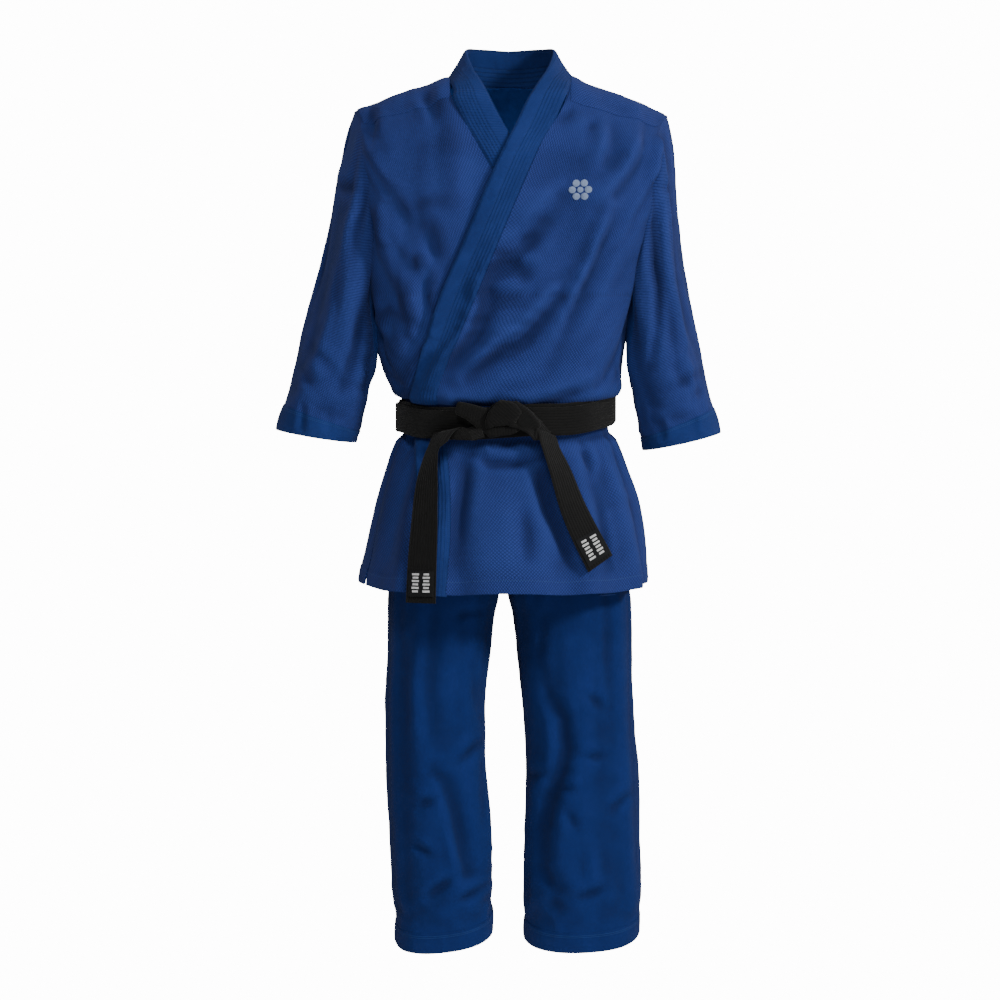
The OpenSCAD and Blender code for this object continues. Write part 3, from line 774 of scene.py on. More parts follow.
def belt_material():
    """Black twill with ten rows of stitching along its width."""
    g = Graph("belt_twill")
    half, edge = 0.022, 0.0022
    rows = [(-half + edge) + k * (2 * half - 2 * edge) / 9 for k in range(10)]
    rib = g.wave(g.add(g.u, g.v), 0.0016)
    weft = g.wave(g.v, 0.0015)
    fibre = g.noise(1500, 2)
    dips = g.dips(rows, 0.00055)
    height = g.add(g.times(rib, 0.35), g.times(weft, 0.35), g.times(fibre, 0.6), g.times(dips, -1.6))
    # the colour is darker in the dents along the stitch rows: painted shade
    shade = g.add(g.times(fibre, 0.45), g.times(g.noise(40, 3), 0.45), g.times(weft, 0.12),
        g.times(dips, -0.18))
    return g.finish(g.colour(shade, BELT_DARK, BELT_LIGHT, 0.15, 0.85), height, 0.0004, 0.8, 0.45,
        (0.8, 0.8, 0.78))


def thread_material(name, dark, light):
    g = Graph(name)
    strands = g.wave(g.add(g.u, g.times(g.v, 0.25)), 0.0009)
    shade = g.add(g.times(strands, 0.3), g.times(g.noise(700, 2), 0.6))
    return g.finish(g.colour(shade, dark, light, 0.1, 0.8), strands, 0.0002, 0.55, 0.1, (1, 1, 1))


BAND_ROWS = [0.0035, 0.0095, 0.0155, 0.0215, 0.0275, 0.0335, 0.0575]
pearl = pearl_material()
drill = drill_material("drill_jacket", DRILL_DARK, DRILL_LIGHT)
band = drill_material("drill_band", DRILL_DARK, DRILL_LIGHT, BAND_ROWS)
quilted = drill_material("drill_quilted", DRILL_DARK, DRILL_LIGHT, BAND_ROWS, cross=0.0048)
hem_cloth = pearl_material("pearl_hem", hem_rows=(1.0205,))
cuff_cloth = drill_material("drill_cuff", DRILL_DARK, DRILL_LIGHT, seam=(1.0285, 1.0262))
trouser = drill_material("drill_trousers", TROUSER_DARK, TROUSER_LIGHT)
trouser_hem = drill_material("drill_leg_hem", TROUSER_DARK, TROUSER_LIGHT, seam=(1.0275, 1.0250))
belt_cloth = belt_material()
white_thread = thread_material("white_thread", (0.45, 0.45, 0.45), (0.85, 0.85, 0.85))
emblem_thread = thread_material("emblem_thread", (0.16, 0.22, 0.38), (0.34, 0.42, 0.60))


def dress(obj, material, slot, *nodes):
    obj.data.materials.append(material)
    if nodes:
        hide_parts(*nodes)
    return obj


BODY = "wrapped_jacket"

# ---- Seams of the jacket ----

OVER_SEAM = [[8, 97], [-33, 84], [-95, 50], [-170, 17], [-248, -16], [-315, -44], [-393, -76], [-436, -96],
    [-484, -109],
             [-540, -97], [-643, -89], [-790, -97]]
OVER_FREE = [[8, 47], [-36, 25], [-82, 2], [-159, -34], [-218, -58], [-276, -83], [-332, -108], [-391, -127],
             [-436, -140], [-484, -151], [-540, -147], [-643, -141], [-800, -149]]
UNDER_SEAM = [[8, -99], [-36, -83], [-85, -56], [-132, -30], [-180, -6], [-280, 46], [-380, 98], [-484, 134],
    [-790, 140]]
UNDER_FREE = [[8, -44], [-11, -38], [-47, -20], [-83, 2], [-132, 28], [-180, 52], [-280, 104], [-380, 140],
    [-436, 150],
              [-484, 142], [-545, 138], [-800, 176]]
over_seam, over_free, under_seam, under_free = (table(t)[0] for t in (OVER_SEAM, OVER_FREE, UNDER_SEAM,
    UNDER_FREE))
WRAP_GAP = 7.5


def under_drop(x, z):
    """How far the wearer's right front sinks where the left front lies over it."""
    return -WRAP_GAP * clamp01((x - over_free(z) + 50) / 50)


def armhole_turn(h):
    return 90 - ARMHOLE_BOW * np.sqrt(np.maximum(0, 1 - ((h + ARMHOLE / 2) / (ARMHOLE / 2)) ** 2))


def seam_turn(side, h):
    low = 90.0 if side == LEFT else mix(90, 78, clamp01((-ARMHOLE - h) / 150))
    return np.where(h > -ARMHOLE, armhole_turn(h), low)


def vent(h):
    return 2.2 * clamp01((-DROP + 145 - h) / 145)


HEM = 24
BODY_ROWS = np.concatenate([np.linspace(-DROP + HEM - 2, -130, 150), np.linspace(-126, 0, 46)])
HEM_ROWS = np.linspace(-DROP, -DROP + HEM, 9)


def front_grid(side, rows, out, cols=90):
    h = rows[:, None]
    seam = over_seam if side == LEFT else under_seam
    inner = turn_of(seam(true_height(h)), h)
    outer = side * (seam_turn(side, h) - (vent(h) if side == LEFT else 0.0))
    t = np.linspace(0, 1, cols)[None, :]
    turn = mix(inner, outer, t)
    h = np.broadcast_to(h, turn.shape)
    if side == RIGHT:
        x = base(turn, h)[..., 0]
        out = out + under_drop(x, true_height(h)) * clamp01(14 * (1 - t))
    return jacket(turn, h, out)


NECK_HALF, NECK_DROP = 99, 44


def neck_dip(x):
    """How low the back of the neck is cut."""
    return -NECK_DROP * np.sqrt(np.maximum(0, 1 - (x / NECK_HALF) ** 2))


def back_grid(rows, out, cols=170):
    h = rows[:, None]
    start = seam_turn(LEFT, h) + vent(h)
    end = seam_turn(RIGHT, h) + vent(h)
    start = np.where(h > -ARMHOLE, 180 - armhole_turn(h), start)
    end = np.where(h > -ARMHOLE, 180 - armhole_turn(h), end)
    turn = mix(start, 360 - end, np.linspace(0, 1, cols)[None, :])
    h = np.broadcast_to(h, turn.shape)
    x = base(turn, h)[..., 0]
    dip = neck_dip(x)
    h = np.where(h > -SHOULDER_ROUND, mix(h, np.minimum(h, dip), ease((h + 100) / 40)), h)
    h = np.minimum(h, dip + 1e-6)
    return jacket(turn, h, out)


left_front = thick("left_front", front_grid(LEFT, BODY_ROWS, 1.5))
dress(left_front, pearl, "pearl_cloth", "left_front_panel")
right_front = thick("right_front", front_grid(RIGHT, BODY_ROWS, 1.5))
dress(right_front, pearl, "pearl_cloth", "right_front_panel")
back = thick("back", back_grid(BODY_ROWS, 1.5))
dress(back, pearl, "pearl_cloth", "back_panel")


def neck_facing_painted_light():
    """A light sheet inside the back of the neck, shaped as a plain lining, that paints in light which doesn't
    reach in there.
    """
    h = np.linspace(-170, 0, 60)[:, None]
    x = np.linspace(112, -112, 80)[None, :]
    h = np.minimum(h, neck_dip(x))
    x = np.broadcast_to(x, h.shape)
    return dress(thick("neck_facing_painted_light", jacket(180 - turn_of(x, h), h, -0.1), 0.8), facing_cloth_painted_light, "pearl_cloth")


# a drill about twice as light as the jacket's: painted light for the inside of the neck
facing_cloth_painted_light = drill_material("facing_drill_painted_light", (0.0070, 0.0420, 0.230), (0.0260, 0.0900, 0.420))
facing = neck_facing_painted_light()


def hem_band(name, make, node):
    """The turned hem: a doubled edge, rounded at the bottom."""
    outer, inner = make(HEM_ROWS, 3.1), make(HEM_ROWS, -0.1)
    round_edge(outer, inner, 0)
    outer[-1] = mix(outer[-1], inner[-1], 0.12)
    return dress(sheet(name, outer, inner, cloth_uv(outer)), hem_cloth, "band_cloth", node)


hems = [
    hem_band("left_front_hem_band", lambda rows, out: front_grid(LEFT, rows, out), "left_front_hem"),
    hem_band("right_front_hem_band", lambda rows, out: front_grid(RIGHT, rows, out), "right_front_hem"),
    hem_band("back_hem_band", back_grid, "back_hem"),
]


def yoke(side):
    """The second layer over the shoulder, from its seam on the front to the same on the back."""
    rows = np.concatenate([np.linspace(-56, 0, 26), np.linspace(0, -56, 26)[1:]])
    grid = []
    for k, h in enumerate(rows):
        front = k < 26
        edge = abs(base(np.array(side * armhole_turn(h)), np.array(h))[0]) - 6
        x = side * np.linspace(90 if side == RIGHT else 95, edge, 44)
        turn = turn_of(x, np.full(44, h))
        if not front:
            turn = side * 180 - turn
        inner = ease((np.abs(x) - 88) / 22)
        grid.append(jacket(turn, np.full(44, h), 2.3 + 0.7 * inner * ease((h + 60) / 10)))
    p = np.array(grid)
    n = facing_out(p, np.array([side * 170.0, SHOULDER_Y, -80.0]))
    obj = thick(NAMES[side] + "_yoke", p, 1.1, normal=n)
    return dress(obj, pearl, "pearl_cloth", NAMES[side] + "_shoulder_yoke")


yokes = [yoke(LEFT), yoke(RIGHT)]

# ---- Collar and lapels: one stitched band, in three pieces ----

NECK_SEWN = [[0, 80, -18], [24, 79, -17], [46, 74, -14], [66, 64, -9], [83, 49, -4], [95, 25, 1], [99, -2, 1],
    [98, -28, -2],
             [95, -50, -7], [91, -68, -18], [86, -81, -28]]
NECK_FREE = [[0, 66, 51], [20, 64, 52], [37, 59, 53], [51, 50, 53], [61, 38, 53], [67, 18, 50], [66, -4, 40],
             [62, -22, 28], [55, -42, 13], [42, -64, -8], [24, -88, -38]]
BAND_W, BAND_T = 60, 5.2


def curve_points(at, s, path, slopes):
    return np.stack([hermite(at, s, path[:, k], slopes[:, k]) for k in range(path.shape[1])], -1)


def through(path, count):
    """Evenly spaced points along a smooth curve through the path."""
    path = np.array(path, float)
    s = np.concatenate([[0], np.cumsum(np.linalg.norm(np.diff(path, axis=0), axis=1) ** 0.5)])
    slopes = np.gradient(path, s, axis=0)
    fine = np.linspace(0, s[-1], 2000)
    p = curve_points(fine, s, path, slopes)
    run = np.concatenate([[0], np.cumsum(np.linalg.norm(np.diff(p, axis=0), axis=1))])
    even = np.interp(np.linspace(0, run[-1], count), run, fine)
    return curve_points(even, s, path, slopes)


BAND_COLS = 42
BAND_STEPS = 420
# the steps of each band that lie on the neck
NECK_STEPS = 90


def band_profile():
    """Round the band's cross-section: the share from sewn edge to free edge, and the height."""
    t = np.linspace(0, 1, BAND_COLS)
    top = BAND_T * (1 - 0.8 * np.exp(-t / 0.05)) * (1 - 0.55 * np.exp(-(1 - t) / 0.022))
    for row in BAND_ROWS:
        top = top - 0.55 * np.exp(-(((t * 0.06 - row) / 0.0011) ** 2))
    under = np.full(BAND_COLS, 0.4)
    return np.concatenate([t, t[::-1]]), np.concatenate([top, under])


def band_piece(name, sewn, free, on_chest, side, under=False):
    """Part of the stitched band between two rows of matching edge points.

    on_chest is 0 on the neck and 1 where the band lies on the front. under is for the band beneath."""
    share, height = band_profile()
    line = mix(sewn[:, None, :], free[:, None, :], share[None, :, None])
    along = np.gradient((sewn + free) / 2, axis=0)
    across = unit(free - sewn)
    out = unit(np.cross(across, along)) * side
    lift = 1.4
    bow = 3.0 * np.sin(np.pi * share)
    neck = line + out[:, None, :] * (height + lift + bow)[None, :, None]
    turn, h = front_place(line[..., 0], line[..., 2])
    drop = under_drop(line[..., 0], line[..., 2]) - 0.2 if under else 0.0
    flat = jacket(turn, h) + away(turn, h) * (height - 0.7 + drop)[..., None]
    rows = mix(neck, flat, on_chest[:, None, None])
    run = np.concatenate([[0], np.cumsum(np.linalg.norm(np.diff((sewn + free) / 2, axis=0), axis=1))])
    return tube(name, rows, strap_uv(share * BAND_W, run + 1000))


def band_edges(side):
    """The band's two edges from the back of the neck to the hem."""
    seam, free = (over_seam, over_free) if side == LEFT else (under_seam, under_free)
    heights = np.array([-62, -100, -140, -190, -240, -290, -340, -390, -440, -486, -520, -546, -590, -640,
        -690, -740, -783.0])
    low = heights - 22 * clamp01((heights + 470) / 90)
    narrow = 1.0 if side == LEFT else 0.94
    sewn = [[side * p[0] * (narrow if p[2] > -20 else 1.0), p[1], p[2]] for p in NECK_SEWN]
    loose = [[side * p[0] * narrow, p[1], p[2]] for p in NECK_FREE[:-1]] + [[side * NECK_FREE[-1][0],
        *NECK_FREE[-1][1:]]]
    sewn += base_chest(seam(heights), heights).tolist()
    loose += base_chest(free(low), low).tolist()
    return through(sewn, BAND_STEPS), through(loose, BAND_STEPS)


def base_chest(x, z):
    turn, h = front_place(x, z)
    return base(turn, h)


def build_bands():
    made = {}
    cut = {}
    for side in (LEFT, RIGHT):
        sewn, loose = band_edges(side)
        step = np.arange(len(sewn))
        on_chest = ease((-24 - loose[:, 2]) / 60)
        on_chest = np.where(step < NECK_STEPS, np.minimum(on_chest, ease((step - 55) / 50)), on_chest)
        split = int(np.argmin(np.linalg.norm(sewn - np.array([side * 91, -68, -18]), axis=1)))
        cut[side] = (sewn[: split + 1], loose[: split + 1], on_chest[: split + 1])
        name = NAMES[side] + "_lapel"
        piece = band_piece(name + "_band", sewn[split:], loose[split:], on_chest[split:], side, side == RIGHT)
        made[side] = dress(piece, band if side == LEFT else quilted, "band_cloth", name)
    right, left = cut[RIGHT], cut[LEFT]
    sewn = np.concatenate([right[0][::-1], left[0][1:]])
    loose = np.concatenate([right[1][::-1], left[1][1:]])
    on_chest = np.concatenate([right[2][::-1], left[2][1:]])
    collar = band_piece("collar_band", sewn, loose, on_chest, LEFT)
    dress(collar, band, "band_cloth", "back_collar")
    return collar, made[LEFT], made[RIGHT]


collar_band, left_band, right_band = build_bands()

# ---- Sleeves ----

CUFF = {LEFT: ((332, -546), (214, -574)), RIGHT: ((-365, -541), (-247, -561))}
CUFF_SHARE = 0.92
# share of the way down, how far the outer edge stands out, and the inner edge goes in
SLEEVE_SHAPE = {
    LEFT: [[0, 0, 0], [0.1, 2, 6], [0.2, -3, 11], [0.33, -9, 15], [0.45, -10, 17], [0.56, -9, 15],
        [0.77, -5, 9], [0.9, -1, 6], [1, 0, 4]],
    RIGHT: [[0, 0, 0], [0.1, 2, 6], [0.2, 2, 11], [0.33, -3, 17], [0.45, -6, 19], [0.56, -5, 17],
        [0.77, 0, 12], [0.9, 1, 8], [1, 0, 5]],
}
SLEEVE_FOLDS = {
    LEFT: [
        (9, 11, [(237, -176), (225, -220), (225, -283), (231, -322), (230, -381), (217, -440)]),
        (-4, 12, [(201, -252), (198, -322), (206, -393)]),
        (-3, 12, [(255, -180), (268, -300)]),
        (4, 10, [(225, -165), (252, -165)]),
        (4, 14, [(262, -250), (290, -420)]),
        (4, 16, [(250, -430), (285, -480)]),
        (4, 12, [(240, -480), (300, -450)]),
        (2.5, 9, [(240, -560), (236, -520)]),
        (2.5, 9, [(290, -555), (286, -515)]),
    ],
    RIGHT: [
        (6, 13, [(-274, -160), (-242, -165)]),
        (5, 22, [(-262, -120), (-250, -60)]),
        (6, 14, [(-282, -200), (-300, -330), (-320, -420)]),
        (-5, 18, [(-253, -190), (-256, -385)]),
        (5, 14, [(-231, -340), (-240, -420), (-262, -480)]),
        (4, 14, [(-330, -430), (-300, -480)]),
        (4, 8, [(-318, -495), (-324, -546)]),
        (4, 14, [(-270, -450), (-320, -400)]),
        (2.5, 9, [(-280, -555), (-277, -510)]),
    ],
}
RING_STEP = 3.0
RING = np.arange(0, 360, RING_STEP)


def armhole_point(side, ring):
    h = -ARMHOLE / 2 + ARMHOLE / 2 * np.cos(np.radians(ring))
    turn = side * (90 - ARMHOLE_BOW * np.sin(np.radians(ring)))
    return jacket(turn, h, 1.2) - points(side * 0.4, 0, 0)


def sleeve_middle(side, ring, along):
    ring, along = np.broadcast_arrays(np.asarray(ring, float), np.asarray(along, float))
    top, bottom = (np.array([x, 0, z], float) for x, z in CUFF[side])
    middle, reach = (top + bottom) / 2, (top - bottom) / 2
    reach = reach / np.linalg.norm(reach) * 60
    c, s = np.cos(np.radians(ring)), np.sin(np.radians(ring))
    end = middle + swell(c, 0.92)[..., None] * reach + points(0, -62 * s, 0)
    outer, inner = table(SLEEVE_SHAPE[side])
    shift = outer(along) * np.maximum(0, c) - inner(along) * np.maximum(0, -c)
    return mix(armhole_point(side, ring), end, along[..., None]) + points(side * shift, 0, 0)


def outward_normals(p):
    """The normals of a tube's grid, facing out, and 1 or -1 for whether its grid faces that way."""
    n = grid_normals(p, wrap=True)
    way = 1 if np.mean(np.sum(n * (p - p.mean(1, keepdims=True)), -1)) > 0 else -1
    return n * way, way


def by_row(values, places, at):
    """The grid's rows at some places along it."""
    row = np.interp(at, places, np.arange(len(places)))
    low = np.minimum(np.floor(row).astype(int), len(places) - 2)
    part = (row - low)[:, None]
    return values[low] * (1 - part) + values[low + 1] * part


def sleeve_grid(side, alongs, out=0.0, simulated=True):
    ring, along = np.meshgrid(RING, alongs)
    p = sleeve_middle(side, ring, along)
    n, _ = outward_normals(p)
    s = np.sin(np.radians(ring))
    shown = ease(s * 3)
    amount = shown * folds(p[..., 0], p[..., 2], SLEEVE_FOLDS[side])
    behind = [(d * 0.8, w, [(x + side * 12, z + 20) for x, z in line]) for d, w, line in SLEEVE_FOLDS[side]]
    amount = amount + ease(-s * 3) * folds(p[..., 0], p[..., 2], behind)
    amount = amount + 1.5 * value_noise(p, 70, 5 + side) + 0.6 * value_noise(p, 28,
        8 + side) + 0.3 * value_noise(p, 14, 9)
    elbow = np.exp(-(((along - 0.62) / 0.2) ** 2)) * ease(-np.cos(np.radians(ring)) * 2)
    bunch = np.sin(p[..., 2] / 9 + 3 * value_noise(p, 50, 15)) * elbow
    amount = amount + 1.2 * bunch
    if simulated:
        amount = amount + by_row(sleeve_sims[side], SIM_ALONGS, alongs)
    amount = amount * ease(along / 0.07)
    return p + n * (amount + out)[..., None], n


SIM_ALONGS = np.linspace(0, 1, 119)


def sleeve_sim(side):
    p, _ = sleeve_grid(side, SIM_ALONGS, simulated=False)
    _, way = outward_normals(p)
    along = np.broadcast_to(SIM_ALONGS[:, None], p.shape[:2])
    held = ((along < 0.01) | (along > 0.985)).astype(float)
    return simulate("sleeve_sim", p, held, 0.06, way) * 0.5 * ease((1.0 - along) / 0.12)


sleeve_sims = {side: sleeve_sim(side) for side in (LEFT, RIGHT)}


def sleeve(side):
    name = NAMES[side]
    arm = name + "_arm"
    alongs = np.concatenate([np.linspace(0, 0.1, 14), np.linspace(0.11, CUFF_SHARE + 0.004, 104)])
    p, n = sleeve_grid(side, alongs)
    tube_cloth = dress(thick(name + "_sleeve_cloth", p, wrap=True, normal=n), pearl, "pearl_cloth",
        name + "_sleeve")
    rows = np.linspace(CUFF_SHARE, 1.0, 16)
    outer, n = sleeve_grid(side, rows, 2.1)
    inner, _ = sleeve_grid(side, rows, -1.0)
    round_edge(outer, inner, -1)
    outer[0] = mix(outer[0], inner[0], 0.15)
    uv = cloth_uv(outer[::-1], True)[::-1]
    cuff = dress(sheet(name + "_cuff", outer, inner, uv, True), cuff_cloth, "band_cloth", name + "_cuff_hem")
    spread = 44 * (1 - 0.85 * np.linspace(0, 1, 50) ** 1.3)
    s = np.linspace(0.02, 0.6, 50)
    t = np.linspace(-1, 1, 21)
    full, n_full = sleeve_grid(side, s)
    ring = 180 + t[None, :] * spread[:, None]
    at = ring / RING_STEP
    lower = np.floor(at).astype(int) % len(RING)
    part = (at - np.floor(at))[..., None]
    row = np.arange(50)[:, None]
    middle = full[row, lower] * (1 - part) + full[row, (lower + 1) % len(RING)] * part
    normal = unit(n_full[row, lower] * (1 - part) + n_full[row, (lower + 1) % len(RING)] * part)
    gusset = dress(
        thick(name + "_gusset", middle + normal * 1.5, 1.0, normal=normal), drill, "band_cloth",
            name + "_underarm_gusset"
    )
    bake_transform(tube_cloth)
    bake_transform(gusset)
    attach(cuff, arm)
    return tube_cloth, cuff, gusset


sleeves = {side: sleeve(side) for side in (LEFT, RIGHT)}

# ---- Trousers ----

LEG_POWER = 2 / 2.3
# height, inner edge, outer edge, half depth
LEGS = {
    LEFT: [[-702, 8, 164, 82], [-760, 1, 184, 94], [-795, -1, 190, 98], [-829, 8, 192, 97],
        [-915, 17, 193, 95], [-999, 24, 197, 93],
           [-1101, 27, 203, 91], [-1250, 27, 206, 88], [-1372, 25, 206, 86]],
    RIGHT: [[-702, -24, -168, 82], [-760, -16, -186, 94], [-795, -14, -189, 98], [-829, -22, -189, 97],
        [-876, -27, -189, 96],
            [-975, -38, -193, 94], [-1038, -38, -192, 92], [-1140, -31, -189, 90], [-1282, -27, -182, 87],
                [-1372, -24, -179, 86]],
}
LEG_FOLDS = {
    RIGHT: [
        (4, 12, [(-82, -840), (-66, -832), (-38, -827)]),
        (5, 13, [(-82, -1072), (-42, -1038)]),
        (11, 21, [(-138, -1091), (-116, -1083), (-101, -1096), (-85, -1140), (-69, -1198), (-61, -1245),
            (-42, -1253)]),
        (5, 12, [(-145, -1140), (-109, -1126)]),
        (5, 12, [(-129, -1285), (-85, -1253)]),
        (5, 12, [(-82, -1293), (-30, -1269)]),
        (5, 16, [(-60, -900), (-46, -1000)]),
        (4, 22, [(-120, -820), (-128, -950), (-118, -1040)]),
        (-4, 14, [(-147, -880), (-147, -1040)]),
        (-4, 10, [(-100, -1180), (-84, -1240)]),
        (4, 10, [(-150, -1200), (-120, -1220)]),
    ],
    LEFT: [
        (12, 21, [(49, -896), (64, -967), (83, -999), (88, -1046), (80, -1080), (57, -1132), (49, -1179),
            (52, -1238), (72, -1269), (72, -1297)]),
        (5, 12, [(104, -1065), (123, -1060), (149, -1061)]),
        (4, 12, [(80, -1112), (107, -1112)]),
        (5, 12, [(88, -1143), (107, -1175)]),
        (-4, 13, [(131, -1205), (131, -1262)]),
        (5, 16, [(60, -820), (50, -880)]),
        (4, 20, [(150, -820), (158, -960)]),
        (5, 12, [(100, -1290), (150, -1270)]),
        (4, 12, [(30, -1100), (60, -1085)]),
        (4, 12, [(120, -960), (150, -985)]),
        (5, 12, [(160, -1150), (190, -1120)]),
    ],
}
leg_tables = {side: table(LEGS[side]) for side in LEGS}


def leg_grid(side, heights, out=0.0, simulated=True):
    """Rings round a leg at some heights. turn goes round each leg: 0 front, 90 the wearer's left."""
    turn, h = np.meshgrid(RING, heights)
    inner, outer, depth = (f(h) for f in leg_tables[side])
    c, s = np.cos(np.radians(turn)), np.sin(np.radians(turn))
    middle, half = (inner + outer) / 2, np.abs(outer - inner) / 2
    x = middle + half * swell(s, LEG_POWER)
    y = -depth * swell(c, LEG_POWER)
    tilt = ease((-1150 - h) / 180)
    z = h - tilt * 15 * c + tilt * (4 if side == LEFT else 8) * (x - middle) / half
    p = points(x, y, z)
    n, _ = outward_normals(p)
    seen_z = -250 + (z + 250) * 1.018
    amount = ease(c * 3) * folds(x, seen_z, LEG_FOLDS[side])
    mirrored = [(d * 0.9, w, [(180 * side - px, pz - 14) for px, pz in line]) for d, w,
        line in LEG_FOLDS[side]]
    amount = amount + ease(-c * 3) * folds(x, z, mirrored)
    amount = amount + 1.6 * value_noise(p, 90, 31 + side) + 0.8 * value_noise(p, 34,
        33 + side) + 0.5 * value_noise(p, 15, 35)
    crease = np.sin(h / 11 + 2.6 * value_noise(p, 70, 37)) * np.exp(-(((h + 1060) / 70) ** 2)) * ease(-c * 2)
    amount = amount + 1.6 * crease
    if simulated:
        amount = amount + by_row(leg_sims[side], SIM_HEIGHTS, heights)
    amount = amount * ease((-704 - h) / 40)
    return p + n * (amount + out)[..., None], n


SIM_HEIGHTS = np.linspace(-1342, -703, 181)


def leg_sim(side):
    p, _ = leg_grid(side, SIM_HEIGHTS, simulated=False)
    _, way = outward_normals(p)
    h = np.broadcast_to(SIM_HEIGHTS[:, None], p.shape[:2])
    held = ((h > -712) | (h < -1334)).astype(float)
    return simulate("leg_sim", p, held, 0.05, way) * 0.4 * ease((h + 1342) / 60)


leg_sims = {side: leg_sim(side) for side in (LEFT, RIGHT)}


def leg(side):
    name = NAMES[side]
    body = name + "_trouser_leg"
    heights = np.linspace(-1311, -703, 190)
    p, n = leg_grid(side, heights)
    cloth = dress(thick(name + "_leg_cloth", p, wrap=True, normal=n), trouser, "trouser_cloth", name + "_leg")
    rows = np.linspace(-1341, -1310, 12)
    outer, _ = leg_grid(side, rows, 2.0)
    inner, _ = leg_grid(side, rows, -1.2)
    round_edge(outer, inner, 0)
    outer[-1] = mix(outer[-1], inner[-1], 0.15)
    hem = dress(sheet(name + "_ankle_hem", outer, inner, cloth_uv(outer, True), True), trouser_hem,
        "trouser_cloth", name + "_leg_hem")
    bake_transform(cloth)
    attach(hem, body)
    return cloth, hem


legs = {side: leg(side) for side in (LEFT, RIGHT)}

HIPS = [[-704, 194, 122], [-640, 180, 110], [-590, 156, 96], [-560, 140, 86], [-519, 132, 81],
    [-470, 132, 81]]
hip_wide, hip_deep = table(HIPS)
SEAM_X = -8


def hip_point(turn, h, out=0.0):
    c, s = np.cos(np.radians(turn)), np.sin(np.radians(turn))
    x = (hip_wide(h) + out) * swell(s, LEG_POWER)
    y = -(hip_deep(h) + out) * swell(c, LEG_POWER)
    return points(x, y, h)


def hip(side):
    name = NAMES[side]
    heights = np.linspace(-699, -519, 60)
    t = np.linspace(0, 1, 70)
    grid = []
    for h in heights:
        a = math.degrees(math.asin(min(1, abs(SEAM_X) / float(hip_wide(h))) ** 1.15))
        first = -a + 0.4 if side == LEFT else -a - 0.4
        last = 180 + a - 0.4 if side == LEFT else -180 + a + 0.4
        turn = mix(first, last, t)
        grid.append(hip_point(turn, np.full(len(t), h), 1.5))
    p = np.array(grid)
    n = facing_out(p, 0.0)
    ripple = value_noise(p, 40, 41) - np.abs(np.sin(p[..., 0] / 13)) * ease((p[..., 2] + 590) / 70) * 1.2
    obj = thick(name + "_hip_cloth", p + n * ripple[..., None], normal=n)
    return dress(obj, trouser, "trouser_cloth", name + "_hip")


hips = [hip(LEFT), hip(RIGHT)]


def ring_band(name, heights, outer_out, inner_out, material, node, slot, gather=0.0):
    turn, h = np.meshgrid(RING, heights)
    wave = gather * np.sin(np.radians(turn) * 40)
    outer, inner = hip_point(turn, h, outer_out), hip_point(turn, h, inner_out)
    n = unit(points(outer[..., 0], outer[..., 1], 0 * h))
    outer = outer + n * wave[..., None]
    round_edge(outer, inner, 0)
    round_edge(outer, inner, -1)
    return dress(sheet(name, outer, inner, cloth_uv(outer, True), True), material, slot, node)


waist = ring_band("waist_casing", np.linspace(-517, -477, 16), 2.8, 0.0, trouser, "waistband",
    "trouser_cloth", 0.5)


def torus_ring(centre, radius, thickness):
    """A stitched eyelet facing the front."""
    a, b = np.meshgrid(np.arange(0, 360, 12.0), np.arange(0, 360, 30.0), indexing="ij")
    a, b = np.radians(a), np.radians(b)
    r = radius + thickness * np.cos(b)
    return points(centre[0] + r * np.cos(a), centre[1] - thickness * np.sin(b), centre[2] + r * np.sin(a))


def closed_rings(name, rings):
    """Several closed ring shapes in one mesh."""
    verts, faces, uvs, start = [], [], [], 0
    for p in rings:
        rows, cols = p.shape[:2]
        verts.append(p.reshape(-1, 3))
        faces.append(ring_faces(rows, cols) + start)
        flat_uv = np.stack(np.meshgrid(np.arange(cols + 1.0), np.arange(rows + 1.0)), -1).reshape(-1,
            2) + 1000
        uvs.append(flat_uv[grid_faces(rows + 1, cols + 1, False)])
        start += rows * cols
    return new_mesh(name, np.concatenate(verts), np.concatenate(faces), uvs)


eyelets = closed_rings("cord_eyelets",
    [torus_ring((SEAM_X + dx, -hip_deep(-497) - 3.4, -497), 3.6, 0.9) for dx in (-16, 16)])
dress(eyelets, emblem_thread, "emblem_thread", "drawstring_eyelets")


def crotch():
    """The strip between the legs, a saddle that hangs from the seat."""
    a = np.radians(np.linspace(180, 0, 60))
    rows = []
    for angle in a:
        y, z = 78 * math.cos(angle), -703 - 82 * math.sin(angle)
        rows.append([[x, y, z] for x in np.linspace(-10.5, -5.5, 5)])
    p = np.array(rows, float)
    return dress(thick("crotch_strip", p), trouser, "trouser_cloth", "crotch_gusset")


crotch_strip = crotch()


def tab(side):
    """The tab inside the jacket that an inner tie cord is sewn to."""
    half_width = jacket_left if side == LEFT else jacket_right
    x = side * (float(half_width(-420.0)) - 8)
    y, z = np.meshgrid(np.linspace(-10, 10, 6), np.linspace(-430, -410, 6))
    middle = points(x - side * 0.6 * np.cos(y / 8), y, z)
    return thick(NAMES[side] + "_tie_tab", middle, normal=points(side + 0 * y, 0, 0))


left_tab, right_tab = tab(LEFT), tab(RIGHT)
dress(left_tab, drill, "band_cloth", "inner_tie_tabs")
dress(right_tab, drill, "band_cloth")

# ---- Emblem: seven embroidered dots ----

EMBLEM = (108, -168)


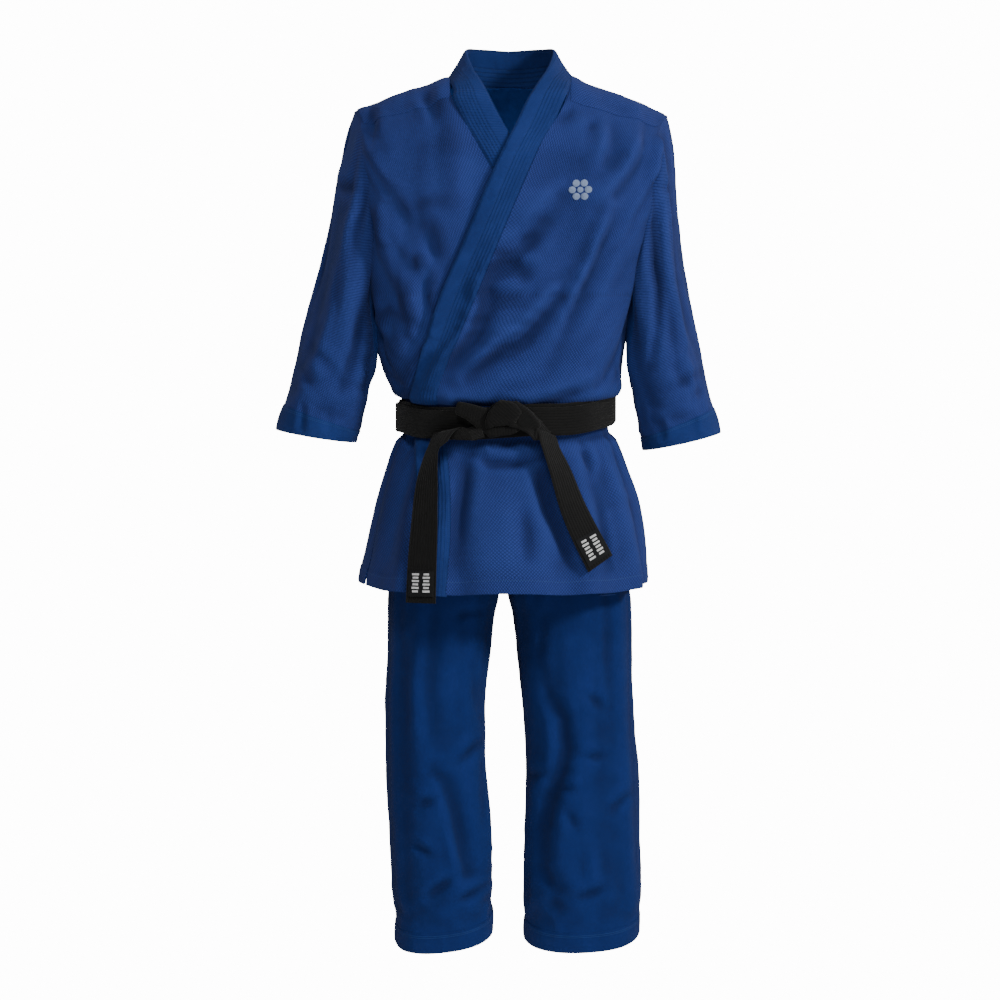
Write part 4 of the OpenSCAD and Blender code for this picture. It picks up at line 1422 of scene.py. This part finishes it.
def emblem():
    """A round flower of seven dots, each a low dome of thread."""
    angles = [math.radians(k * 60) for k in range(6)]
    spots = [(0, 0, 4.8)] + [(12 * math.cos(a), 12 * math.sin(a), 5.6) for a in angles]
    verts, faces, sides = [], [], 24
    for dx, dz, radius in spots:
        start = len(verts)
        rings = [(1.0, -0.6), (1.0, 0.5), (0.8, 1.0), (0.45, 1.3)]
        for share, lift in rings:
            for a in range(sides):
                angle = math.radians(a * 360 / sides)
                x = EMBLEM[0] + dx + radius * share * math.cos(angle)
                z = EMBLEM[1] + dz + radius * share * math.sin(angle)
                turn, h = front_place(x, z)
                p = jacket(turn, h, 2.4) + away(turn, h) * lift
                verts.append(p.reshape(3))
        top, bottom = len(verts), len(verts) + 1
        for lift in (1.45, -0.6):
            turn, h = front_place(EMBLEM[0] + dx, EMBLEM[1] + dz)
            verts.append((jacket(turn, h, 2.4) + away(turn, h) * lift).reshape(3))
        for ring in range(len(rings) - 1):
            for a in range(sides):
                b = (a + 1) % sides
                low = start + ring * sides
                faces.append([low + a, low + b, low + sides + b, low + sides + a])
        for a in range(sides):
            b = (a + 1) % sides
            faces.append([start + 3 * sides + a, start + 3 * sides + b, top])
            faces.append([start + b, start + a, bottom])
    verts = np.array(verts)
    uvs = [np.array([[verts[i][0] + 1000, verts[i][2] + 2000] for i in face]) for face in faces]
    return new_mesh("chest_flower", verts, faces, uvs)


flower = dress(emblem(), emblem_thread, "emblem_thread", "chest_emblem")

# ---- Belt ----

BELT_W = 44
BELT_T = 4.2
BELT_HEIGHT = -516.0
# how far the belt hangs in front, and how much higher it is at the wearer's left
BELT_DROOP, BELT_TILT = 14, 7


def strap_profile(width=BELT_W, thickness=BELT_T, cols=25):
    """Across a strap: distance from its middle and height, going round with rounded edges."""
    t = np.linspace(-1, 1, cols)
    edge = np.sqrt(np.maximum(0, 1 - np.maximum(0, (np.abs(t) - 0.93) / 0.07) ** 2))
    top = thickness / 2 * (0.45 + 0.55 * edge)
    across = np.concatenate([t, t[::-1]]) * width / 2
    return across, np.concatenate([top, -top])


def belt_turn(name, middle, out, node):
    """One turn of the belt round the waist."""
    across, height = strap_profile()
    turn = np.arange(-180, 180, 2.0)
    turn_grid = turn[:, None]
    front = np.maximum(0, np.cos(np.radians(turn_grid)))
    p = base(turn_grid, BELT_HEIGHT, out + BELT_T / 2 + height[None, :])
    wave = 1.2 * np.sin(np.radians(turn_grid) * 5 + 1) + 0.8 * np.sin(np.radians(turn_grid) * 9)
    p[..., 2] = middle + across[None,
        :] - BELT_DROOP * front + BELT_TILT * np.sin(np.radians(turn_grid)) + wave
    p = p + unit(points(p[..., 0], p[..., 1], 0)) * (0.7 * np.sin(np.radians(turn_grid) * 11))[..., None]
    rows = np.concatenate([p, p[:1]])
    cols = rows.shape[1]
    count = len(turn)
    flat_uv = strap_uv(across, lengths_along(rows, 0).mean(1)).reshape(-1, 2)
    uvs = [flat_uv[grid_faces(count + 1, cols + 1, False)]]
    obj = new_mesh(name, p.reshape(-1, 3), ring_faces(count, cols), uvs)
    return dress(obj, belt_cloth, "belt_cloth", node)


inner_turn = belt_turn("belt_inner_turn", -508, 7.0, "belt_inner_wrap")
outer_turn = belt_turn("belt_outer_turn", -513, 12.2, "belt_outer_wrap")

# x, z, lift off the skirt, direction across the strap, twist
TAILS = {
    LEFT: [[2, -503, 24, 84, 22], [15, -507, 20, 83, 25], [28, -516, 19, 80, 35], [40, -530, 18, 65, 45],
        [51, -547, 17, 44, 50],
           [62, -571, 14, 29, 50], [74, -597, 10, 25, 40], [91, -643, 8, 25, 28], [108, -682, 8, 27, 18],
               [135, -737, 9, 36, 8]],
    RIGHT: [[-38, -530, 20, 112, 60], [-51, -535, 18, 117, 60], [-66, -541, 18, 130, 58],
        [-83, -548, 17, 137, 56],
            [-98, -557, 17, 132, 58], [-108, -569, 14, 160, 58], [-114, -584, 10, 178, 50],
                [-119, -609, 9, 180, 40],
            [-122, -636, 9, 180, 32], [-125, -676, 9, 180, 24], [-128, -722, 9, 180, 16],
                [-131, -792, 10, 180, 8]],
}
LABEL = 52


def strap_points(stations, across, height):
    """Points across each station of a strap that lies over the skirt."""
    x, z, lift, angle, tilt = (stations[:, [k]] for k in range(5))
    a, t = np.radians(angle), np.radians(tilt)
    side_step = across[None, :] * np.cos(t)
    off = lift + BELT_T / 2 + (BELT_W / 2 - across[None, :]) * np.sin(t) * 0.6 + height[None, :]
    px, pz = x + side_step * np.cos(a), z + side_step * np.sin(a)
    turn, h = front_place(px, pz)
    p = base(turn, h) + away(turn, h) * off[..., None]
    p[..., 2] -= SKIRT_SAG
    return p


def tail(side):
    name = NAMES[side]
    body = name + "_belt_end"
    count = 160
    stations = through(TAILS[side], count)
    wave = 1.2 * np.sin(np.linspace(0, 9, count)) * ease(np.linspace(-0.2, 1, count) * 3)
    stations[:, 2] += np.maximum(0, wave)
    across, height = strap_profile()
    p = strap_points(stations, across, height)
    run = lengths_along(p, 0).mean(1)
    strap = dress(tube(name + "_belt_end_strap", p, strap_uv(across, run)), belt_cloth, "belt_cloth",
        name + "_belt_tail")
    label_start = np.flatnonzero(run > run[-1] - LABEL + 2)[0]
    rows = stations[label_start : count - 3]
    patch_across, patch_height = strap_profile(38, 1.6, 21)
    patch = strap_points(rows, patch_across, patch_height + BELT_T / 2 + 0.9)
    uv = strap_uv(patch_across, lengths_along(patch, 0).mean(1))
    label = dress(tube(name + "_belt_end_patch", patch, uv), label_cloth, "belt_cloth", name + "_belt_label")
    bars = bars_on(name, rows)
    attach(strap, body)
    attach(label, body)
    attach(bars, body)
    return strap, label, bars


def bars_on(name, rows):
    """Two lines of plain raised bars where the maker's lettering was."""
    verts, faces = [], []
    count = len(rows)
    start = 0
    for lane in (-8.0, 8.0):
        for k in range(6):
            a, b = 0.12 + k * 0.13, 0.12 + k * 0.13 + 0.075
            span = np.linspace(a, b, 5) * (count - 1)
            lower = np.floor(span).astype(int)
            part = (span - lower)[:, None]
            stations = rows[lower] * (1 - part) + rows[np.minimum(lower + 1, count - 1)] * part
            half = 5.2 if (k + (lane > 0)) % 2 else 4.2
            across, height = strap_profile(half * 2, 1.0, 9)
            p = strap_points(stations, across + lane, height + BELT_T / 2 + 2.0)
            cols = p.shape[1]
            faces += (grid_faces(5, cols, True) + start).tolist()
            flat = p.reshape(-1, 3)
            verts.append(flat)
            for end in (0, 4 * cols):
                for j in range(cols // 2 - 1):
                    cap = np.array([j, j + 1, cols - 2 - j, cols - 1 - j])
                    faces.append((start + end + cap).tolist())
            start += len(flat)
    verts = np.concatenate(verts)
    uvs = [np.array([[verts[i][0], verts[i][2]] for i in face]) + 2000 for face in faces]
    return dress(new_mesh(name + "_belt_end_bars", verts, faces, uvs), white_thread, "belt_cloth")


label_cloth = drill_material("label_twill", (0.003, 0.003, 0.0032), (0.012, 0.012, 0.012))
tails = {side: tail(side) for side in (LEFT, RIGHT)}


def pad(name, outline, front, deep, puff, grain=0.0, lean=(0.0, 0.0)):
    """A folded lump of belt: an outline in x, z with a domed face towards the front."""
    edge = through([*outline, outline[0]], 97)[:-1]
    centre = edge.mean(0)
    verts = []
    for share in [0.15, 0.3, 0.45, 0.6, 0.72, 0.82, 0.9, 0.95, 0.985, 1.0]:
        p = centre + (edge - centre) * share
        dome = puff * (1 - share**7) ** 0.6
        y = front - dome + lean[0] * (p[:, 0] - centre[0]) + lean[1] * (p[:, 1] - centre[1])
        verts.append(points(p[:, 0], y, p[:, 1]))
    p = centre + (edge - centre) * 0.97
    verts.append(points(p[:, 0], front + deep, p[:, 1]))
    grid = np.array(verts)
    rows, cols = grid.shape[:2]
    flat = grid.reshape(-1, 3)
    extra = np.array([[centre[0], front - puff, centre[1]], [centre[0], front + deep, centre[1]]])
    flat = np.concatenate([flat, extra])
    faces = [list(q) for q in grid_faces(rows, cols, True)]
    top, bottom = len(flat) - 2, len(flat) - 1
    for k in range(cols):
        faces.append([k, (k + 1) % cols, top])
        faces.append([(rows - 1) * cols + (k + 1) % cols, (rows - 1) * cols + k, bottom])
    c, s = math.cos(grain), math.sin(grain)
    x, z = flat[:, 0] - centre[0], flat[:, 2] - centre[1]
    place = np.stack([x * c + z * s, -x * s + z * c], -1)
    uvs = [place[face] for face in faces]
    return dress(new_mesh(name, flat, faces, uvs, 70), belt_cloth, "belt_cloth")


KNOT_PAD = [(-46, -520), (-33, -504), (-16, -492), (12, -494), (24, -508), (18, -528), (2, -541), (-28, -545),
    (-44, -536)]
KNOT_LOOP = [(-37, -522), (-34, -512), (-31, -506), (-29, -504), (-22, -497), (-15, -490), (-13, -489),
    (-10, -489), (0, -491), (8, -494),
             (10, -495), (15, -501), (19, -507), (19, -509), (14, -518), (10, -525), (8, -527), (-8, -529),
                 (-24, -531), (-34, -534), (-36, -533)]
KNOT_LIP = [(-35, -532), (-27, -531), (-10, -529), (8, -527), (15, -522), (20, -528), (16, -536), (5, -542),
    (-14, -545), (-30, -547), (-36, -541)]
KNOT_WING = [(-80, -495), (-78, -493), (-62, -495), (-46, -499), (-30, -505), (-29, -512), (-33, -524),
    (-34, -540), (-44, -536),
             (-54, -529), (-66, -520), (-82, -511), (-83, -509)]
KNOT_ARCH = [(2, -494), (10, -491), (20, -496), (32, -505), (42, -516), (49, -528), (42, -537), (27, -539),
    (14, -532), (8, -518), (0, -506)]

knot_parts = [
    pad("knot_body", KNOT_PAD, -123, 8, 5),
    pad("knot_wing", KNOT_WING, -124, 7, 6, -0.2, (-0.12, 0.0)),
    pad("knot_arch", KNOT_ARCH, -128, 9, 7, -0.9, (0.1, 0.0)),
    pad("knot_lip", KNOT_LIP, -129, 9, 4, 0.1),
    pad("knot_loop", KNOT_LOOP, -135, 9, 6, 0.85, (0.0, -0.12)),
]
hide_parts("belt_knot")

# ---- What everything rides on ----

still = [left_front, right_front, back, facing, *hems, *yokes, collar_band, left_band, right_band, *hips,
    waist, eyelets, crotch_strip,
         left_tab, right_tab, flower, inner_turn, outer_turn, *knot_parts]
for piece in still:
    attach(piece, BODY)

# ---- Stage ----


def floor():
    """A pale floor that fades out into the white world."""
    size, count = 4.0, 24
    ticks = np.linspace(-size, size, count)
    x, y = np.meshgrid(ticks, ticks)
    floor_z = -1.76
    verts = points(x, y, floor_z).reshape(-1, 3)
    mesh = bpy.data.meshes.new("floor")
    mesh.from_pydata(verts.tolist(), [], grid_faces(count, count, False).tolist())
    obj = bpy.data.objects.new("floor", mesh)
    bpy.context.scene.collection.objects.link(obj)
    material = bpy.data.materials.new("floor_white")
    material.use_nodes = True
    nodes, links = material.node_tree.nodes, material.node_tree.links
    shader = nodes["Principled BSDF"]
    shader.inputs["Base Color"].default_value = (0.9, 0.9, 0.9, 1)
    shader.inputs["Roughness"].default_value = 0.9
    clear = nodes.new("ShaderNodeBsdfTransparent")
    blend_node = nodes.new("ShaderNodeMixShader")
    place = nodes.new("ShaderNodeTexCoord")
    far = nodes.new("ShaderNodeVectorMath")
    far.operation = "LENGTH"
    fade = nodes.new("ShaderNodeMapRange")
    fade.inputs["From Min"].default_value = 0.35
    fade.inputs["From Max"].default_value = 1.1
    fade.interpolation_type = "SMOOTHSTEP"
    flat = nodes.new("ShaderNodeVectorMath")
    flat.operation = "MULTIPLY"
    flat.inputs[1].default_value = (1, 1, 0)
    links.new(place.outputs["Object"], flat.inputs[0])
    links.new(flat.outputs["Vector"], far.inputs[0])
    links.new(far.outputs["Value"], fade.inputs["Value"])
    links.new(fade.outputs[0], blend_node.inputs["Fac"])
    links.new(shader.outputs[0], blend_node.inputs[1])
    links.new(clear.outputs[0], blend_node.inputs[2])
    links.new(blend_node.outputs[0], nodes["Material Output"].inputs["Surface"])
    obj.data.materials.append(material)


floor()


def area_light(name, place, aim, size, power):
    """A round lamp at a place, turned to face a point."""
    data = bpy.data.lights.new(name, "AREA")
    data.shape = "DISK"
    data.size = size
    data.energy = power
    obj = bpy.data.objects.new(name, data)
    bpy.context.scene.collection.objects.link(obj)
    obj.location = place
    direction = Vector(aim) - Vector(place)
    obj.rotation_euler = direction.to_track_quat("-Z", "Y").to_euler()


# name, place, the point it faces, width in metres, watts
LIGHTS = [
    ("key", (2.8, -2.1, 1.2), (0, 0, -0.6), 0.7, 125),
    ("fill", (-0.5, -2.5, 1.9), (0, 0, -0.3), 0.7, 42),
    ("low", (0.6, -3.2, -2.0), (0, 0, -0.75), 1.4, 44),
    ("rim_left", (2.2, 2.2, 1.2), (0, 0, -0.6), 1.6, 16),
    ("rim_right", (-2.2, 2.2, 1.0), (0, 0, -0.6), 1.6, 10),
]
for light in LIGHTS:
    area_light(*light)

world = bpy.data.worlds.new("studio")
bpy.context.scene.world = world
world.use_nodes = True
soft = world.node_tree.nodes["Background"]
soft.inputs["Color"].default_value = (1, 1, 1, 1)
soft.inputs["Strength"].default_value = 0.26
seen = world.node_tree.nodes.new("ShaderNodeBackground")
seen.inputs["Color"].default_value = (1, 1, 1, 1)
seen.inputs["Strength"].default_value = 14
# the camera sees a plain white room that lights the cloth only a little
path = world.node_tree.nodes.new("ShaderNodeLightPath")
choose = world.node_tree.nodes.new("ShaderNodeMixShader")
links = world.node_tree.links
links.new(path.outputs["Is Camera Ray"], choose.inputs["Fac"])
links.new(soft.outputs[0], choose.inputs[1])
links.new(seen.outputs[0], choose.inputs[2])
links.new(choose.outputs[0], world.node_tree.nodes["World Output"].inputs["Surface"])

camera = bpy.data.objects.new("camera", bpy.data.cameras.new("camera"))
bpy.context.scene.collection.objects.link(camera)
camera.data.sensor_width = 36
camera.data.lens = 126.3
camera.location = (-0.014, -5.5, -0.25)
aim = Vector((-0.014, 0, -0.6526)) - Vector(camera.location)
camera.rotation_euler = aim.to_track_quat("-Z", "Y").to_euler()
bpy.context.scene.camera = camera

bpy.context.view_layer.update()
